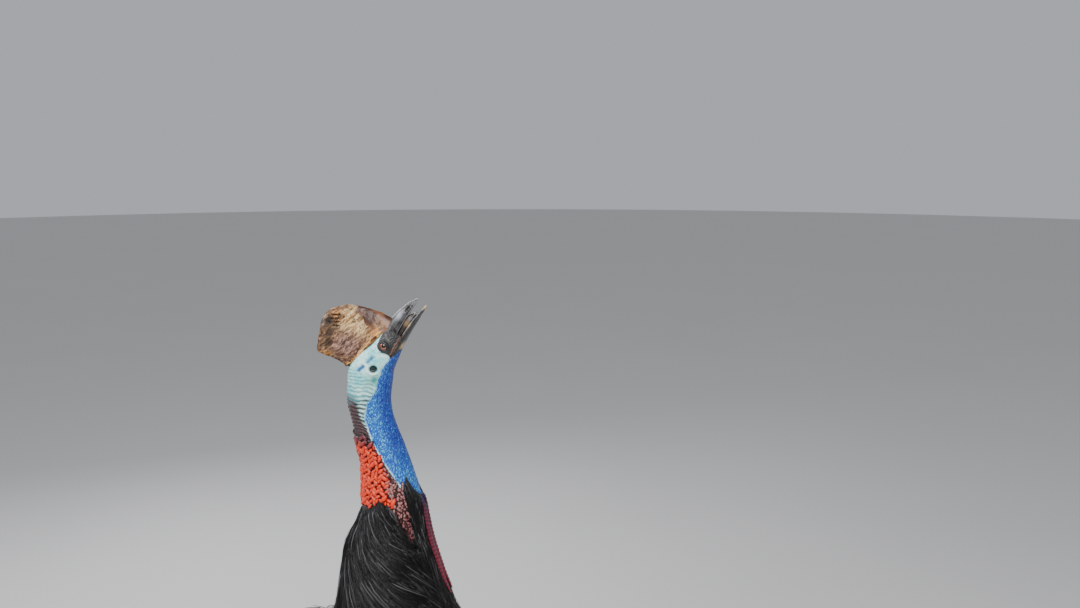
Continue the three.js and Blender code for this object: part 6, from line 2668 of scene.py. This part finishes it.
    def claw(self, toe: Toe, finish: Material) -> None:
        """A tapering claw, keeled above, that droops to its tip.

        Args:
            toe: The toe that bears it.
            finish: Its material.
        """
        start, forward, across = self.frame(toe)
        size = toe.value
        share, angle = lattice(np.linspace(-0.06, 0.97, 60), 32)
        way = np.clip(share, 0, 1)
        girth = size.claw_radius * (1 - way) ** 0.62 * smooth(share, -0.14, 0.02)
        keel = 1 + 0.12 * np.maximum(np.cos(angle), 0) ** 4
        far = size.length + size.claw * share
        rings = start + far[..., None] * forward + (girth * 0.8 * np.sin(angle))[..., None] * across
        height = size.claw_radius + 6 - size.droop * way**1.6 + girth * keel * np.cos(angle)
        rings[..., 2] = np.maximum(height, 0.3)
        tip = start + (size.length + size.claw) * forward
        tip[2] += size.claw_radius + 6 - size.droop
        name = f"claw_{toe.label}_{self.side.label}"
        tube(rings, {"tip": smooth(share, 0.4, 1)}, tip).install(f"horn_{name}", finish, "claw_horn", name)

    def build(self, scale: Material, horn: Material) -> None:
        """Makes the shank, the toes and the claws.

        Args:
            scale: The scales' material.
            horn: The claws' material.
        """
        self.shank(scale)
        for toe in Toe:
            self.toe(toe, scale)
            self.claw(toe, horn)


# The room


@dataclass
class Studio:
    """A pale floor, soft lights and the camera at the photo's place.

    Attributes:
        lens: Focal length for a 36 mm wide film.
        pitch: How far the camera looks down.
        turn: How far it is turned to its left.
        offset: From the head's own origin to the camera, in metres.
    """

    lens: float = FILM * 935 / 1080
    pitch: float = math.radians(9.35)
    turn: float = math.radians(2.28)
    offset: Triple = (0.3862, -1.8171, 0.3886)

    def camera(self) -> None:
        """Sets the camera where the photo was taken from."""
        data = bpy.data.cameras.new("camera")
        data.lens, data.sensor_width, data.sensor_fit = self.lens, FILM, "HORIZONTAL"
        data.clip_start, data.clip_end = 0.05, 100
        place = ROW.metres(np.array([0.0, 0.0, HEAD_HEIGHT])) + np.array(self.offset)
        holder = self.stand(data, place, (math.pi / 2 - self.pitch, 0, self.turn))
        bpy.context.scene.camera = holder

    def floor(self, finish: Material) -> None:
        """A wide level disc at the soles' height.

        Args:
            finish: Its material.
        """
        radii, turn = lattice(np.array([30000.0, 15000.0, 4000.0]), 64)
        shell = tube(np.stack([radii * np.cos(turn), radii * np.sin(turn), 0 * radii], -1))
        shell.faces = shell.faces[~np.isin(shell.faces, [len(shell.points) - 2]).any(axis=1)]
        shell.points[:, :2] -= ROW.shift[:2]
        shell.points[:, 2] = -ROW.shift[2] - 0.5
        shell.make("floor", finish)

    def light(self, name: str, place: Triple, aim: Triple, size: float, power: float, tone: Triple) -> None:
        """Adds a square soft light that faces a point.

        Args:
            name: The light's name.
            place: Where it stands.
            aim: The point that it faces.
            size: Its edge.
            power: Its power in watts.
            tone: Its colour.
        """
        data = bpy.data.lights.new(name, "AREA")
        data.shape, data.size, data.energy, data.color = "SQUARE", size, power, tone
        way = unit(np.array(aim) - np.array(place))
        self.stand(data, place, (math.acos(-way[2]), 0, math.atan2(way[1], way[0]) - math.pi / 2))

    @staticmethod
    def stand(data: bpy.types.ID, place: Array | Triple, turn: Triple) -> bpy.types.Object:
        """Stands a camera or a light in the room.

        Args:
            data: The camera's or the light's own data.
            place: Where it stands, in metres.
            turn: Its turn about each axis.

        Returns:
            The new object.
        """
        holder = bpy.data.objects.new(data.name, data)
        holder.location, holder.rotation_euler = tuple(place), turn
        bpy.context.scene.collection.objects.link(holder)
        return holder

    def build(self) -> None:
        """Makes the whole room."""
        self.camera()
        self.floor(FloorFinish().material)
        world = bpy.data.worlds.new("studio")
        world.use_nodes = True
        back = world.node_tree.nodes["Background"]
        back.inputs["Color"].default_value = (0.80, 0.84, 0.90, 1)
        back.inputs["Strength"].default_value = 0.55
        bpy.context.scene.world = world
        self.light("key", (0.9, -3.0, 3.7), (0.1, 0, 1.2), 1.6, 165, (1.0, 0.97, 0.93))
        self.light("sky", (-1.6, -0.6, 3.6), (0.1, 0, 1.1), 2.4, 95, (0.90, 0.95, 1.0))
        self.light("back", (-1.2, 3.0, 2.6), (0.1, 0, 1.0), 2.0, 60, (0.95, 0.97, 1.0))


def main() -> None:
    """Builds the bird from the head down, then the room, and reports each piece."""
    logging.basicConfig(level=logging.INFO, format="%(name)s %(message)s")
    trunk = Trunk()
    flesh = WholeFlesh(trunk)
    skin = BareSkin().material
    whole = Skin(trunk)
    grid = whole.grid()
    whole.build(grid, skin)
    Casque().build(CasqueHorn().material)
    horn = BillHorn().material
    bill = Bill()
    bill.lining(horn)
    for jaw in Jaw:
        bill.build(jaw, horn)
    wet, crimson, quill = EyeFinish().material, WattleSkin().material, QuillHorn().material
    scale, claw = LegScale().material, ClawHorn().material
    Caruncles(trunk.neck).build(CaruncleSkin().material)
    coat = Coat(flesh)
    coat.trunk(grid, trunk.neck, trunk.body)
    for side in Side:
        Eye(side).ball(wet)
        Eye(side).lids(skin)
        Wattle(side).build(trunk.neck, crimson)
        coat.leg(side)
        Wing(side).build(flesh, trunk.body, quill)
        Foot(side).build(scale, claw)
    Studio().build()


if __name__ == "__main__":
    main()
